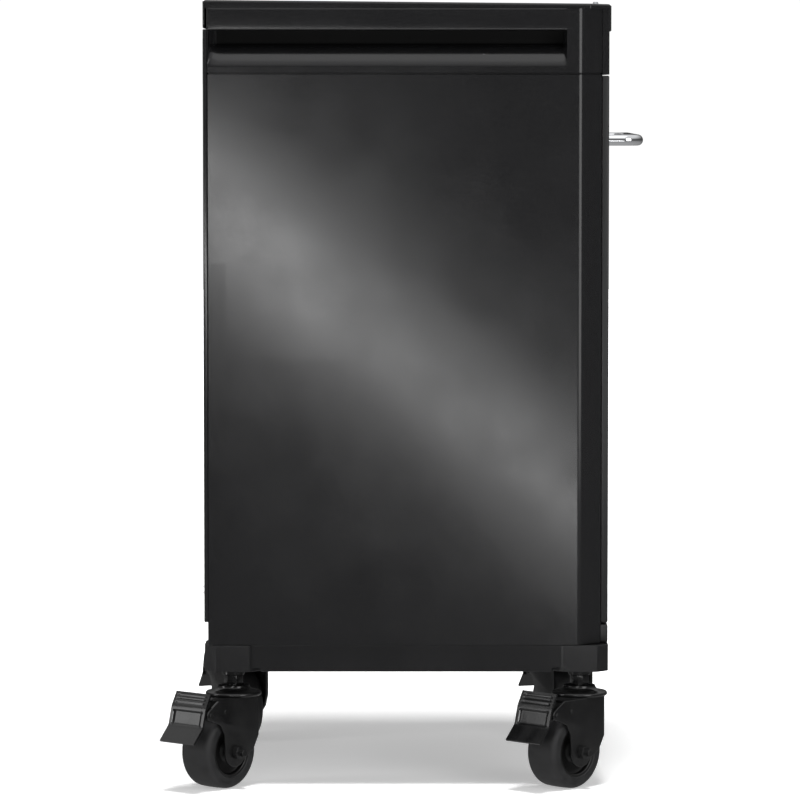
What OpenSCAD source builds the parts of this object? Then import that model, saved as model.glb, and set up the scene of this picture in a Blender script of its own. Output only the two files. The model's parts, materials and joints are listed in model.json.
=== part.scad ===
// Freestanding trash compactor on four braked swivel casters.
// Millimetres. The origin is on the floor under the middle of the cabinet:
// X runs across the width, the front faces -Y, and Z points up.

/* [Cabinet] */
// Outside width of the cabinet
cabinet_w = 381; // [370:1:480]
// Outside depth of the cabinet, without the handle
cabinet_d = 432; // [420:1:560]
// Height of the side panels' top edge above the floor
side_top = 832.5; // [800:0.5:900]
// Thickness of the cabinet's sheet steel
sheet = 1.5; // [1:0.1:2]
// How far each front corner is cut back, at 45 degrees
corner_cut = 22.5; // [12:0.5:28]
// Depth of the drawer front, the fascia and the toe panel
front_t = 7.5; // [6:0.5:12]
// Depth of the rear panel's folded pan
rear_t = 4; // [3:0.5:8]
// Height of the seam between the head and the body, filled by the deck's edge
seam = 2; // [1.5:0.5:3]
// Gap around the drawer front
drawer_gap = 2; // [1:0.5:4]
// Width of the folded edges that stiffen the side panels
fold = 12; // [8:1:14]

/* [Head] */
// Height of the head above the deck
head_h = 68; // [66:1:90]
// Depth of the hand grip along each side of the head
grip_depth = 25; // [18:1:26]
// Height of the hand grip's square upper part
grip_upper = 15; // [10:1:20]
// Height of the rounded sill in the hand grip's lower part
grip_scoop = 23; // [16:1:26]
// Height of the lip below the hand grip
grip_lip = 7; // [6:1:14]
// Distance from the cabinet's front to the hand grip's front end
grip_front = 46; // [40:1:80]
// Distance from the cabinet's rear to the hand grip's rear end
grip_rear = 7; // [6:1:20]

/* [Cover] */
// Sheet thickness of the top cover
cover_t = 2; // [1.5:0.1:2.5]
// Height of the cover above the side panels, at the rear
cover_rise = 9; // [8:0.5:14]
// Forward slope of the cover
cover_tilt = 0.55; // [0:0.05:0.6]
// How far the front and rear rims hang down beside the head
cover_rim = 24; // [15:1:30]
// Distance of the cover screws from the cabinet's front
cover_screw_inset = 14.5; // [12:0.5:30]

/* [Base] */
// Height of the base frame
base_h = 28.5; // [24:0.5:40]
// How far the base frame stands in from the cabinet's sides
base_inset = 3; // [2:0.5:8]
// Width of the base frame's channel
channel_w = 20; // [18:1:20]
// Side of each square corner foot
foot = 60; // [58:1:70]
// Chamfer on the corner foot's edges
foot_cut = 12; // [6:1:14]
// Thickness of the corner foot's floor
foot_floor = 4; // [3:0.5:6]
// Thickness of the floor pan
pan_t = 2; // [1.5:0.5:3]

/* [Casters] */
// Wheel diameter
wheel_d = 80; // [70:1:82]
// Tyre width
tyre_w = 40; // [30:1:40]
// Radius of the wheel's hub
hub_r = 27; // [22:1:30]
// Offset of the wheel's axle from the swivel axis
trail = 24.5; // [24:0.5:32]
// Gap between the tyre and each leg of the fork
tyre_gap = 2.5; // [1.5:0.5:6]
// Thickness of the fork's steel
fork_t = 3; // [2:0.5:4]
// Radius of the swivel raceway
raceway_r = 30; // [28:1:34]
// Length of the spacer bush on the caster's stem
bush_h = 6; // [4:0.5:30]
// Radius of the caster's stem
stem_r = 6; // [5:0.5:6.5]
// Radius of the axle bolt
axle_r = 4; // [3:0.5:5]
// How far the brake pedal's sides stand in from the fork's
pedal_inset = 1; // [0:0.5:1.5]
// Radius of the pedal's pivot pin
pedal_pin_r = 3; // [2:0.5:3.5]
// Direction that the front left caster's pedal points in, from +X
front_left_swivel = 136; // [0:1:360]
// Direction that the rear left caster's pedal points in, from +X
rear_left_swivel = 140; // [0:1:360]
// Direction that the right casters' pedals point in, from +X
right_swivel = 21; // [0:1:360]

/* [Drawer] */
// Height of the toe panel under the drawer front
toe_h = 19; // [12:1:30]
// Room beside the bin, out to the cabinet's side, for a slide and a power screw
side_room = 50.5; // [50:0.5:60]
// Room between the cabinet's front and the bin
bin_front = 18; // [17:0.5:40]
// Room between the bin and the cabinet's rear
bin_rear = 56; // [30:1:80]
// Wall of the bin
bin_wall = 2.5; // [1.5:0.5:3]
// Height of the rails' centre above the floor pan
rail_z = 66; // [60:1:90]
// Height of the fixed rail
rail_h = 40; // [30:1:44]
// Diameter of the handle's rod
handle_rod = 12; // [10:0.5:16]
// Distance between the handle's legs
handle_span = 256; // [160:1:280]
// How far the handle stands out from the drawer front
handle_out = 39; // [32:1:50]
// Height of the handle above the floor
handle_z = 692.5; // [600:1:730]

/* [Ram drive] */
// Distance of each power screw from the drawer's opening
screw_off = 12; // [11:0.5:14]
// Clearance above the drive nuts at the top of the stroke
drive_gap = 11.5; // [3:0.5:20]
// Radius of the power screws
screw_r = 8; // [7:0.5:9]
// Radius of the screws' bearing journals
journal_r = 6; // [4:0.5:6.5]
// Stroke of the ram
stroke = 165; // [120:1:165]
// Radius over the teeth of the screw sprockets
sprocket_r = 18; // [14:0.5:19]
// Radius over the teeth of the motor sprocket
pinion_r = 13; // [11:0.5:16]
// Radius of the motor
motor_r = 46; // [38:1:50]
// Distance from the screws back to the motor's shaft
motor_back = 114; // [90:1:130]

/* [Controls] */
// Width of a push button
button_w = 26; // [16:1:32]
// Height of a push button
button_h = 16; // [10:1:18]
// Radius of the key lock's plug
plug_r = 7; // [5:0.5:9]

/* [Hidden] */
$fn = 64;

running = 0.05;                       // radial clearance of a shaft that turns
loose = 0.5;                          // clearance of a button in its hole
air = 1;                              // gap between parts that pass each other
over = 1;                             // how far a cutter reaches past what it cuts

half_w = cabinet_w / 2;
bin_half = half_w - side_room;        // half the outside width of the bin
bin_l = cabinet_d - bin_front - bin_rear;
tray_half = bin_half + 3;
slide_w = 8;                          // width of the room for each slide
opening_half = tray_half + slide_w;   // half the width of the opening that the drawer slides through
y_front = -cabinet_d / 2;
y_rear = cabinet_d / 2;
y_flange = y_front + front_t;         // front face of the side panels' front flanges
y_back = y_rear - rear_t;             // rear face of the side panels' rear flanges
front_half = half_w - corner_cut;     // half the width between the cut corners
y_bend = y_flange + corner_cut;

axle_z = wheel_d / 2;
plate_z = wheel_d + 14.5;             // underside of the fork's top plate
plate_top = plate_z + fork_t;
raceway_top = plate_top + 11;
nut_z = raceway_top + air;
nut_h = 10;
bush_r = 12;
base_z = nut_z + nut_h + bush_h;      // underside of the base frame
base_top = base_z + base_h;
pan_top = base_top + pan_t;
deck_top = side_top - head_h;
deck_z = deck_top - seam;
body_z = base_top + air;
drawer_z = body_z + toe_h + drawer_gap;
drawer_top = deck_z - air;
rear_z = drawer_z + 3;
rear_top = side_top - cover_rim + 2;
rear_fold = half_w - opening_half + 0.5;

grip_z = deck_top + grip_lip;         // lower edge of the grip
grip_mid = grip_z + grip_scoop;
grip_top = grip_mid + grip_upper;
grip_y0 = y_front + grip_front;
grip_y1 = y_rear - grip_rear;
sill_end = 60;                        // angle that the grip's sill turns through

cover_front = y_front - cover_t;
cover_rear_z = side_top + cover_rise;
cover_screw_x = front_half - 12;
function cover_z(y) = cover_rear_z - (y_rear - y) * tan(cover_tilt);

caster_x = half_w - foot / 2;
caster_y = cabinet_d / 2 - foot / 2;
CASTERS = [["fl", -1, -1, front_left_swivel], ["fr", 1, -1, right_swivel],
           ["rl", -1, 1, rear_left_swivel], ["rr", 1, 1, right_swivel]];
fork_w = tyre_w + 2 * (tyre_gap + fork_t);
pedal_w = fork_w - 2 * pedal_inset;
hub_boss = fork_w / 2 - fork_t - loose;
pivot = [trail + axle_z - air, wheel_d + 3];  // pedal pivot, from the swivel axis
brake_pin = [trail + 16.5, wheel_d + 5];
fork_rear = -12.5;                    // rear edge of the fork, from the swivel axis
ear_r = 6;

ram_y = y_front + bin_front + bin_l / 2;  // middle of the bin and of the ram
screw_x = opening_half + screw_off;   // distance of each power screw from the centre line
tray_t = 3;
tray_z = drawer_z + 4;
bin_z = tray_z + tray_t;
sprocket_z = deck_z - 17;
sprocket_t = 8;
cross_h = 35;
nut_above = 2;                        // how far the drive nuts stand above the crosshead
cross_z = sprocket_z - drive_gap - nut_above - cross_h;  // underside of the crosshead
ram_z = cross_z - stroke;             // underside of the raised ram plate
bin_top = ram_z - 5;
liner_back = y_flange + 5.5;
rail_mid = pan_top + rail_z - 20;
ram_t = 6;
cross_half = 25;
nut_r = screw_r + 5;
motor_y = ram_y + motor_back;
chain_t = 5;
bearing_h = 8;
bearing_r = journal_r + 7;

handle_screw_r = 2;
control_z = deck_top + 22;            // centre line of the buttons and the lock
BUTTON_X = [60, 100];
key_x = -100;
inlet = [-120, deck_top + 12.5];
inlet_size = [28, 49];
inlet_body = [20, 28];
rear_screw_z = [drawer_z + 34, drawer_z + 40.5];

black = [0.04, 0.04, 0.04];
dark = [0.15, 0.15, 0.16];
zinc = [0.72, 0.73, 0.75];
steel = [0.55, 0.56, 0.58];
chrome = [0.85, 0.86, 0.88];

// ---- outlines ---------------------------------------------------------------
function unit(v) = v / norm(v);
function left_of(v) = [-v[1], v[0]];
function mitre(p, i) =
    let (a = i > 0 ? unit(p[i] - p[i - 1]) : unit(p[1] - p[0]),
         b = i < len(p) - 1 ? unit(p[i + 1] - p[i]) : a,
         n = unit(left_of(a) + left_of(b)))
    n / (n * left_of(a));
// a sheet of thickness t along the path p, on its left
function ribbon(p, t) = concat(p, [for (i = [len(p) - 1:-1:0]) p[i] + t * mitre(p, i)]);
function arc(c, r, a0, a1, n = 8) =
    [for (i = [0:n]) let (a = a0 + (a1 - a0) * i / n) c + r * [cos(a), sin(a)]];

// 2-D x, y become Y, Z and the outline runs along X
module along_x(x0, x1) {
    translate([x0, 0, 0]) rotate([90, 0, 90]) linear_extrude(x1 - x0) children();
}
// 2-D x, y become X, Z and the outline runs along Y
module along_y(y0, y1) {
    translate([0, y1, 0]) rotate([90, 0, 0]) linear_extrude(y1 - y0) children();
}
module box(lo, hi) {
    translate(lo) cube(hi - lo);
}
// a cylinder from y0 to y1
module rod_y(x, y0, y1, z, r, fn = 48) {
    translate([x, y1, z]) rotate([90, 0, 0]) cylinder(h = y1 - y0, r = r, $fn = fn);
}
// a hexagonal prism of that width across its flats
module hex(af, h) {
    cylinder(h = h, r = af / 2 / cos(30), $fn = 6);
}
// a folded pan, open at its rear, from lo to hi
module pan(lo, hi, t) {
    difference() {
        box(lo, hi);
        box(lo + [t, t, t], hi + [-t, over, -t]);
    }
}

// ---- cabinet ----------------------------------------------------------------
// the right-hand side in plan: rear flange, wall, cut corner, front flange
side_path = [[opening_half, y_flange], [front_half, y_flange], [half_w, y_bend],
             [half_w, y_back], [half_w - rear_fold, y_back]];
// the space inside both walls, shared by the floor pan and the deck
inner_plan = let (k = sheet * tan(22.5),
                  right = [[front_half - k, y_flange + sheet], [half_w - sheet, y_bend + k],
                           [half_w - sheet, y_back - sheet]])
    concat(right, [for (i = [2:-1:0]) [-right[i][0], right[i][1]]]);

module side_wall(z0, z1) {
    translate([0, 0, z0]) linear_extrude(z1 - z0) polygon(ribbon(side_path, sheet));
}
module side_fold(z) {
    box([half_w - sheet - fold, y_bend + sheet, z], [half_w - sheet, y_back - sheet, z + sheet]);
}
module side_panel() {
    side_wall(body_z, deck_z);
    side_fold(deck_z - sheet);
}
module left_side_panel() {
    color(black) mirror([1, 0, 0]) difference() {
        side_panel();
        rear_screw_holes();
    }
}
module right_side_panel() {
    color(black) difference() {
        side_panel();
        rear_screw_holes();
    }
}
module rear_screw_holes() {
    for (z = rear_screw_z)
        rod_y(half_w - 9, y_back - sheet - over, y_rear + over, z, 1.6, 24);
}
module rear_panel() {
    color(black) difference() {
        box([-half_w, y_back, rear_z], [half_w, y_rear, rear_top]);
        box([-half_w + sheet, y_back - over, rear_z + sheet],
            [half_w - sheet, y_rear - sheet, rear_top - sheet]);
        for (s = [0, 1]) mirror([s, 0, 0]) rear_screw_holes();
        box([inlet[0] - inlet_body[0] / 2, y_back, inlet[1] - inlet_body[1] / 2],
            [inlet[0] + inlet_body[0] / 2, y_rear + over, inlet[1] + inlet_body[1] / 2]);
    }
}
module rear_screws() {
    color(zinc) for (s = [0, 1], z = rear_screw_z) mirror([s, 0, 0]) {
        rod_y(half_w - 9, y_back - sheet - 2, y_rear, z, 1.5, 24);
        rod_y(half_w - 9, y_rear, y_rear + 1.3, z, 2.6, 24);
    }
}
module floor_pan() {
    color(dark) translate([0, 0, base_top]) linear_extrude(pan_t) polygon(inner_plan);
}
module toe_panel() {
    color(black) pan([-front_half, y_front, body_z], [front_half, y_flange, body_z + toe_h], sheet);
}

// ---- head -------------------------------------------------------------------
// the hand grip's rounded sill, at b degrees round it; grow moves it into the wall
function sill(b, grow) =
    let (across = grip_depth / sin(sill_end), down = grip_scoop / (1 - cos(sill_end)))
    [half_w - grip_depth + across * sin(b), grip_mid - down * (1 - cos(b))]
        - grow * unit([down * sin(b), across * cos(b)]);
// the hand grip's hollow: square above, a rounded sill below; grow thickens it into the wall
module grip_outline(grow, start) {
    back = half_w - grip_depth - grow;
    polygon(concat([[half_w + start, grip_top + grow], [back, grip_top + grow]],
        grow > 0 ? [[back, grip_mid - grow]] : [],
        [for (b = [0:sill_end / 6:sill_end]) sill(b, grow)],
        [[half_w + start, sill(sill_end, grow)[1]]]));
}
module head_shell() {
    difference() {
        union() {
            side_wall(deck_top, side_top);
            side_fold(deck_top);
            side_fold(side_top - sheet);
            along_y(grip_y0 - sheet, grip_y1 + sheet) grip_outline(sheet, 0);
        }
        along_y(grip_y0, grip_y1) grip_outline(0, over);
        translate([cover_screw_x, y_front + cover_screw_inset, side_top - 9])
            cylinder(h = 12, r = 2.4, $fn = 32);
    }
    cover_lug();
}
// the tab that takes the cover screw
module cover_lug() {
    difference() {
        box([cover_screw_x - 8, y_flange + sheet, side_top - sheet],
            [cover_screw_x + 8, y_flange + sheet + 14, side_top]);
        translate([cover_screw_x, y_front + cover_screw_inset, side_top - 9])
            cylinder(h = 12, r = 2.4, $fn = 32);
    }
}
module right_head_shell() {
    color(black) head_shell();
}
module left_head_shell() {
    color(black) mirror([1, 0, 0]) head_shell();
}
module head_deck() {
    color(zinc) difference() {
        translate([0, 0, deck_z]) linear_extrude(seam) polygon(inner_plan);
        for (s = [-1, 1]) translate([s * screw_x, ram_y, deck_z - over])
            cylinder(h = seam + 2 * over, r = journal_r + 1);
        translate([0, motor_y, deck_z - over]) cylinder(h = seam + 2 * over, r = journal_r + 2);
        box([inlet[0] - inlet_body[0] / 2 - 1, y_rear - 26, deck_z - over],
            [inlet[0] + inlet_body[0] / 2 + 1, y_rear, deck_top + over]);
    }
}
// the cover in plan, drawn in by that much
module cover_plan(inset) {
    k = inset * tan(22.5);
    right = [[front_half - k, cover_front + inset], [half_w - inset, y_bend - cover_t - front_t + k],
             [half_w - inset, y_rear - inset]];
    translate([0, 0, side_top - cover_rim - over])
        linear_extrude(cover_rim + cover_rise + 2 * over)
            polygon(concat(right, [for (i = [2:-1:0]) [-right[i][0], right[i][1]]]));
}
module top_cover() {
    rim_z = side_top - cover_rim;
    color(black) difference() {
        intersection() {
            along_x(-half_w, half_w) polygon([
                [cover_front, rim_z], [y_front, rim_z], [y_front, side_top],
                [y_rear - cover_t, side_top], [y_rear - cover_t, rim_z + 3], [y_rear, rim_z + 3],
                [y_rear, cover_z(y_rear)], [cover_front, cover_z(cover_front)]]);
            cover_plan(0);
        }
        intersection() {
            along_x(-half_w, half_w) polygon([
                [y_front, side_top - over], [y_rear - cover_t, side_top - over],
                [y_rear - cover_t, cover_z(y_rear - cover_t) - cover_t],
                [y_front, cover_z(y_front) - cover_t]]);
            cover_plan(cover_t);
        }
        for (s = [-1, 1]) cover_screw_at(s) translate([0, 0, -12]) cylinder(h = 16, r = 2.1, $fn = 32);
    }
}
module cover_screw_at(s) {
    y = y_front + cover_screw_inset;
    translate([s * cover_screw_x, y, cover_z(y)]) rotate([cover_tilt, 0, 0]) children();
}
module cover_screws() {
    color(zinc) for (s = [-1, 1]) cover_screw_at(s) {
        translate([0, 0, -11]) cylinder(h = 11.5, r = 2, $fn = 32);
        cylinder(h = 2.4, r = 3.2, $fn = 32);
    }
}
module control_fascia() {
    color(black) difference() {
        union() {
            pan([-front_half, y_front, deck_z], [front_half, y_flange, side_top], sheet);
            rod_y(key_x, y_front + sheet, y_front + 14, control_z, plug_r + 3);
        }
        for (x = BUTTON_X)
            box([x - button_w / 2 - loose, y_front - over, control_z - button_h / 2 - loose],
                [x + button_w / 2 + loose, y_flange, control_z + button_h / 2 + loose]);
        rod_y(key_x, y_front - over, y_front + 15, control_z, plug_r + running);
    }
}
// a push button: its cap, and the wider foot that keeps it behind the fascia
module button(x) {
    y = y_front + loose;
    box([x - button_w / 2, y, control_z - button_h / 2],
        [x + button_w / 2, y_front + 12, control_z + button_h / 2]);
    box([x - button_w / 2 - 2, y_front + sheet + 0.3, control_z - button_h / 2 - 2],
        [x + button_w / 2 + 2, y_front + sheet + 1.8, control_z + button_h / 2 + 2]);
}
module start_button() {
    color("darkgreen") button(BUTTON_X[0]);
}
module stop_button() {
    color("darkred") button(BUTTON_X[1]);
}
module key_plug() {
    color(chrome) difference() {
        union() {
            rod_y(key_x, y_front + 0.3, y_front + 15, control_z, plug_r);
            rod_y(key_x, y_front + 14.3, y_front + 16, control_z, plug_r + 2);
        }
        box([key_x - 1.2, y_front - over, control_z - plug_r + 2.5],
            [key_x + 1.2, y_front + 9, control_z + plug_r - 2.5]);
    }
}
module control_board() {
    y = y_front + 21;
    color("darkgreen") {
        box([-110, y, deck_top], [125, y + 1.6, side_top - 13]);
        box([-110, y, deck_top], [125, y + 12, deck_top + 1.6]);
        for (x = BUTTON_X) box([x - 6, y - 4, control_z - 6], [x + 6, y, control_z + 6]);
        box([-60, y + 1.6, deck_top + 10], [-30, y + 20, deck_top + 32]);
        box([-15, y + 1.6, deck_top + 10], [15, y + 14, deck_top + 26]);
    }
}
module power_inlet() {
    z = inlet[1];
    color(dark) difference() {
        union() {
            box([inlet[0] - inlet_size[0] / 2, y_rear, z - inlet_size[1] / 2],
                [inlet[0] + inlet_size[0] / 2, y_rear + 2.5, z + inlet_size[1] / 2]);
            box([inlet[0] - inlet_body[0] / 2, y_rear - 22, z - inlet_body[1] / 2],
                [inlet[0] + inlet_body[0] / 2, y_rear, z + inlet_body[1] / 2]);
        }
        box([inlet[0] - inlet_body[0] / 2 + 2, y_rear - 16, z - inlet_body[1] / 2 + 2],
            [inlet[0] + inlet_body[0] / 2 - 2, y_rear + 3.5, z + inlet_body[1] / 2 - 2]);
    }
    color(steel) for (i = [-1, 0, 1])
        box([inlet[0] - 1 + (i == 0 ? 3 : -1), y_rear - 16, z + i * 7 - 2],
            [inlet[0] + 1 + (i == 0 ? 3 : -1), y_rear - 2, z + i * 7 + 2]);
}

// ---- base and casters -------------------------------------------------------
module ring_outline(inset, cut) {
    x = half_w - base_inset - inset;
    y = cabinet_d / 2 - base_inset - inset;
    polygon([[x - cut, -y], [x, -y + cut], [x, y - cut], [x - cut, y],
             [-x + cut, y], [-x, y - cut], [-x, -y + cut], [-x + cut, -y]]);
}
// the ring's outline, from its outside in by inset to its inside out by inset
module ring(inset) {
    difference() {
        ring_outline(inset, foot_cut + 1 - inset * 0.6);
        ring_outline(channel_w - inset, 1);
    }
}
module at_feet() {
    for (c = CASTERS) translate([c[1] * caster_x, c[2] * caster_y, 0]) children();
}
module base_frame() {
    color(black) difference() {
        translate([0, 0, base_z]) linear_extrude(base_h) ring(0);
        translate([0, 0, base_z - over]) linear_extrude(base_h + over - 2) ring(2);
        at_feet() box([-foot / 2, -foot / 2, base_z - over], [foot / 2, foot / 2, base_z + foot_floor]);
    }
}
module corner_feet() {
    a = foot / 2;
    b = a - foot_cut;
    color(black) difference() {
        at_feet() translate([0, 0, base_z]) linear_extrude(base_h)
            polygon([[b, -a], [a, -b], [a, b], [b, a], [-b, a], [-a, b], [-a, -b], [-b, -a]]);
        translate([0, 0, base_z + foot_floor]) linear_extrude(base_h) ring(0);
        at_feet() translate([0, 0, base_z - over]) cylinder(h = base_h + 2 * over, r = stem_r);
    }
}
// bolt, hex nut, spacer bush and the riveted lower end
module caster_stems() {
    color(zinc) at_feet() {
        translate([0, 0, plate_z - 4]) cylinder(h = base_top - 1 - plate_z + 4, r = stem_r);
        translate([0, 0, plate_z - 5.3]) cylinder(h = 5, r = stem_r + 3.5);
        translate([0, 0, nut_z]) hex(18.5, nut_h);
        translate([0, 0, nut_z + nut_h]) cylinder(h = base_z - nut_z - nut_h, r = bush_r);
    }
}
// stands a caster's part in its corner, with local +X towards the pedal
module in_corner(c) {
    translate([c[1] * caster_x, c[2] * caster_y, 0])
        rotate([0, 0, c[3]]) children();
}
module fork_side() {
    lobe = [trail, axle_z];
    polygon(concat([[fork_rear + 8, axle_z + 1], [fork_rear, axle_z + 15], [fork_rear, plate_top]],
        [[pivot[0] - 12, plate_top]], arc(pivot, ear_r, 70, -90),
        [lobe + [23, 31], lobe + [16.5, 20]], arc(lobe, 16, 8, -140, 20)));
}
module fork() {
    w = fork_w / 2;
    difference() {
        union() {
            for (y = [-w, w - fork_t]) along_y(y, y + fork_t) fork_side();
            box([fork_rear, -w, plate_z], [pivot[0] - 14, w, plate_top]);
            translate([0, 0, plate_top - 0.5]) cylinder(h = 5, r = raceway_r);
            translate([0, 0, plate_top + 4]) cylinder(h = 7, r1 = raceway_r - 1, r2 = 15);
        }
        translate([0, 0, plate_z - over])
            cylinder(h = raceway_top - plate_z + 2 * over, r = stem_r + running);
        rod_y(trail, -w - over, w + over, axle_z, axle_r);
        rod_y(pivot[0], -w - over, w + over, pivot[1], pedal_pin_r);
        rod_y(brake_pin[0], -w - over, w + over, brake_pin[1], 2.5);
    }
    // axle bolt with its head, nut and projecting end
    rod_y(trail, -w, w + 13, axle_z, axle_r);
    translate([trail, -w, axle_z]) rotate([90, 0, 0]) hex(13, 5);
    difference() {
        translate([trail, w + 7, axle_z]) rotate([90, 0, 0]) hex(13, 7);
        rod_y(trail, w, w + 8, axle_z, axle_r);
    }
    rod_y(pivot[0], -w - 1.5, w + 1.5, pivot[1], pedal_pin_r);
    rod_y(brake_pin[0], -w - 1.5, w + 1.5, brake_pin[1], 2.5);
}
module hub() {
    web = tyre_w / 2 - 7;
    rim = tyre_w / 2 - 1;
    translate([trail, 0, axle_z]) rotate([90, 0, 0]) rotate_extrude($fn = 72)
        polygon([[axle_r + running, -hub_boss], [axle_r + 5, -hub_boss], [axle_r + 5, -web],
                 [hub_r - 3, -web], [hub_r - 3, -rim], [hub_r, -rim], [hub_r, rim],
                 [hub_r - 3, rim], [hub_r - 3, web], [axle_r + 5, web], [axle_r + 5, hub_boss],
                 [axle_r + running, hub_boss]]);
}
module tyre() {
    r = wheel_d / 2;
    shoulder = 7;
    w = tyre_w / 2;
    translate([trail, 0, axle_z]) rotate([90, 0, 0]) rotate_extrude($fn = 96)
        polygon(concat([[hub_r, -w]], arc([r - shoulder, -w + shoulder], shoulder, -90, 0, 6),
                       arc([r - shoulder, w - shoulder], shoulder, 0, 90, 6), [[hub_r, w]]));
}
// the pressed pedal: treadle, middle panel and flared lip, with two ears on the pivot pin
module pedal() {
    path = [pivot + [0, 23], pivot + [8, 8], pivot + [13, -12], pivot + [27, -27.5]];
    ear = fork_w / 2 - fork_t - 1;
    along_y(-pedal_w / 2, pedal_w / 2) polygon(ribbon(path, -2.5));
    difference() {
        for (y = [-ear, ear - 2.5]) along_y(y, y + 2.5)
            polygon(concat(arc(pivot, ear_r, 150, 290), [pivot + [11, -11], pivot + [6.5, 7.5],
                           pivot + [-1, 20.5]]));
        rod_y(pivot[0], -ear - over, ear + over, pivot[1], pedal_pin_r + running);
    }
}
module caster_part(c, part) {
    if (part == "fork") color(black) in_corner(c) fork();
    if (part == "hub") color(dark) in_corner(c) hub();
    if (part == "tyre") color(dark) in_corner(c) tyre();
    if (part == "pedal") color(black) in_corner(c) pedal();
}

// ---- drawer -----------------------------------------------------------------
module drawer_front() {
    color(black) difference() {
        pan([-front_half, y_front, drawer_z], [front_half, y_flange - loose, drawer_top], sheet);
        for (s = [-1, 1]) rod_y(s * handle_span / 2, y_front - over, y_flange, handle_z,
            handle_screw_r + 0.2, 32);
    }
}
module drawer_liner() {
    color("gray") difference() {
        union() {
            box([-front_half + sheet, y_front + sheet, drawer_z + sheet],
                [front_half - sheet, y_flange - loose, drawer_top - sheet]);
            box([-opening_half + air, y_flange - loose, drawer_z + 4],
                [opening_half - air, liner_back, drawer_top - 6]);
        }
        for (s = [-1, 1]) rod_y(s * handle_span / 2, y_front - over, liner_back + over, handle_z,
            handle_screw_r + 0.2, 32);
    }
}
module drawer_handle() {
    r = handle_rod / 2;
    bend = 16;
    y = y_front - handle_out + r;
    x = handle_span / 2;
    color(chrome) difference() {
        union() {
            translate([-x + bend, y, handle_z]) rotate([0, 90, 0]) cylinder(h = 2 * (x - bend), r = r);
            for (s = [0, 1]) mirror([s, 0, 0]) {
                rod_y(x, y + bend, y_front, handle_z, r, 64);
                translate([x - bend, y + bend, handle_z]) rotate([0, 0, -90])
                    rotate_extrude(angle = 90) translate([bend, 0]) circle(r = r);
            }
        }
        for (s = [-1, 1]) rod_y(s * x, y_front - 12, y_front + over, handle_z, handle_screw_r, 32);
    }
}
module handle_screws() {
    color(zinc) for (s = [-1, 1]) {
        rod_y(s * handle_span / 2, y_front - 12, liner_back, handle_z, handle_screw_r, 32);
        rod_y(s * handle_span / 2, liner_back, liner_back + 2.5, handle_z, 4, 32);
    }
}
module bin() {
    y = bin_l / 2;
    color("gray") difference() {
        box([-bin_half, ram_y - y, bin_z], [bin_half, ram_y + y, bin_top]);
        box([-bin_half + bin_wall, ram_y - y + bin_wall, bin_z + 3],
            [bin_half - bin_wall, ram_y + y - bin_wall, bin_top + over]);
    }
}
module drawer_tray() {
    y1 = ram_y + bin_l / 2 + 5;
    wall_top = rail_mid + rail_h / 2 + 12;
    color(zinc) difference() {
        box([-tray_half, liner_back, tray_z], [tray_half, y1, wall_top]);
        box([-tray_half + sheet, liner_back - over, tray_z + tray_t],
            [tray_half - sheet, y1 - sheet, wall_top + over]);
    }
}
module moving_rails() {
    h = rail_h / 2 - sheet - air;
    color(zinc) for (s = [0, 1]) mirror([s, 0, 0])
        box([tray_half, liner_back, rail_mid - h], [opening_half - air, y_back - 7, rail_mid + h]);
}
module fixed_rails() {
    h = rail_h / 2;
    color(zinc) for (s = [0, 1]) mirror([s, 0, 0]) difference() {
        box([tray_half + air, y_flange + sheet, rail_mid - h],
            [opening_half + sheet, y_back - sheet, rail_mid + h]);
        box([tray_half, y_flange, rail_mid - h + sheet], [opening_half, y_back, rail_mid + h - sheet]);
        // the front end passes outside the drawer's liner
        box([tray_half, y_flange, rail_mid - h - over],
            [opening_half, liner_back + air, rail_mid + h + over]);
    }
}

// ---- ram and its drive ------------------------------------------------------
module ram_plate() {
    x = bin_half - bin_wall - 7;
    y = bin_l / 2 - bin_wall - 7;
    color(zinc) translate([0, ram_y, ram_z]) {
        box([-x, -y, 0], [x, y, ram_t]);
        difference() {
            box([-x + 12, -y + 12, ram_t], [x - 12, y - 12, ram_t + 18]);
            box([-x + 16, -y + 16, ram_t - over], [x - 16, y - 16, ram_t + 19]);
        }
    }
}
module ram_riser() {
    color(zinc) translate([0, ram_y, ram_z + ram_t]) difference() {
        box([-75, -45, 0], [75, 45, stroke - ram_t]);
        box([-72, -42, -over], [72, 42, stroke - ram_t - 3]);
    }
}
module crosshead() {
    x = screw_x + 15;
    color(steel) difference() {
        union() {
            difference() {
                box([-x, ram_y - cross_half, cross_z], [x, ram_y + cross_half, cross_z + cross_h]);
                box([-x + 4, ram_y - cross_half + 4, cross_z - over],
                    [x - 4, ram_y + cross_half - 4, cross_z + cross_h - 4]);
            }
            for (s = [-1, 1]) translate([s * screw_x, ram_y, cross_z])
                cylinder(h = cross_h - 2, r = nut_r + 0.5);
        }
        for (s = [-1, 1]) translate([s * screw_x, ram_y, cross_z - over])
            cylinder(h = cross_h + 2 * over, r = nut_r - 3);
    }
}
module drive_nuts() {
    color("goldenrod") for (s = [-1, 1]) translate([s * screw_x, ram_y, cross_z]) difference() {
        union() {
            translate([0, 0, -10]) cylinder(h = 10, r = nut_r);
            translate([0, 0, -1]) cylinder(h = cross_h + 1 + nut_above, r = nut_r - 3);
        }
        translate([0, 0, -12]) cylinder(h = cross_h + 20, r = screw_r + running);
    }
}
module screw(s) {
    translate([s * screw_x, ram_y, 0]) {
        translate([0, 0, pan_top + 13]) cylinder(h = sprocket_z - pan_top - 14, r = screw_r);
        translate([0, 0, pan_top + 1]) cylinder(h = deck_top + bearing_h - pan_top - 1, r = journal_r);
    }
}
module left_screw() {
    color(steel) screw(-1);
}
module right_screw() {
    color(steel) screw(1);
}
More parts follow.
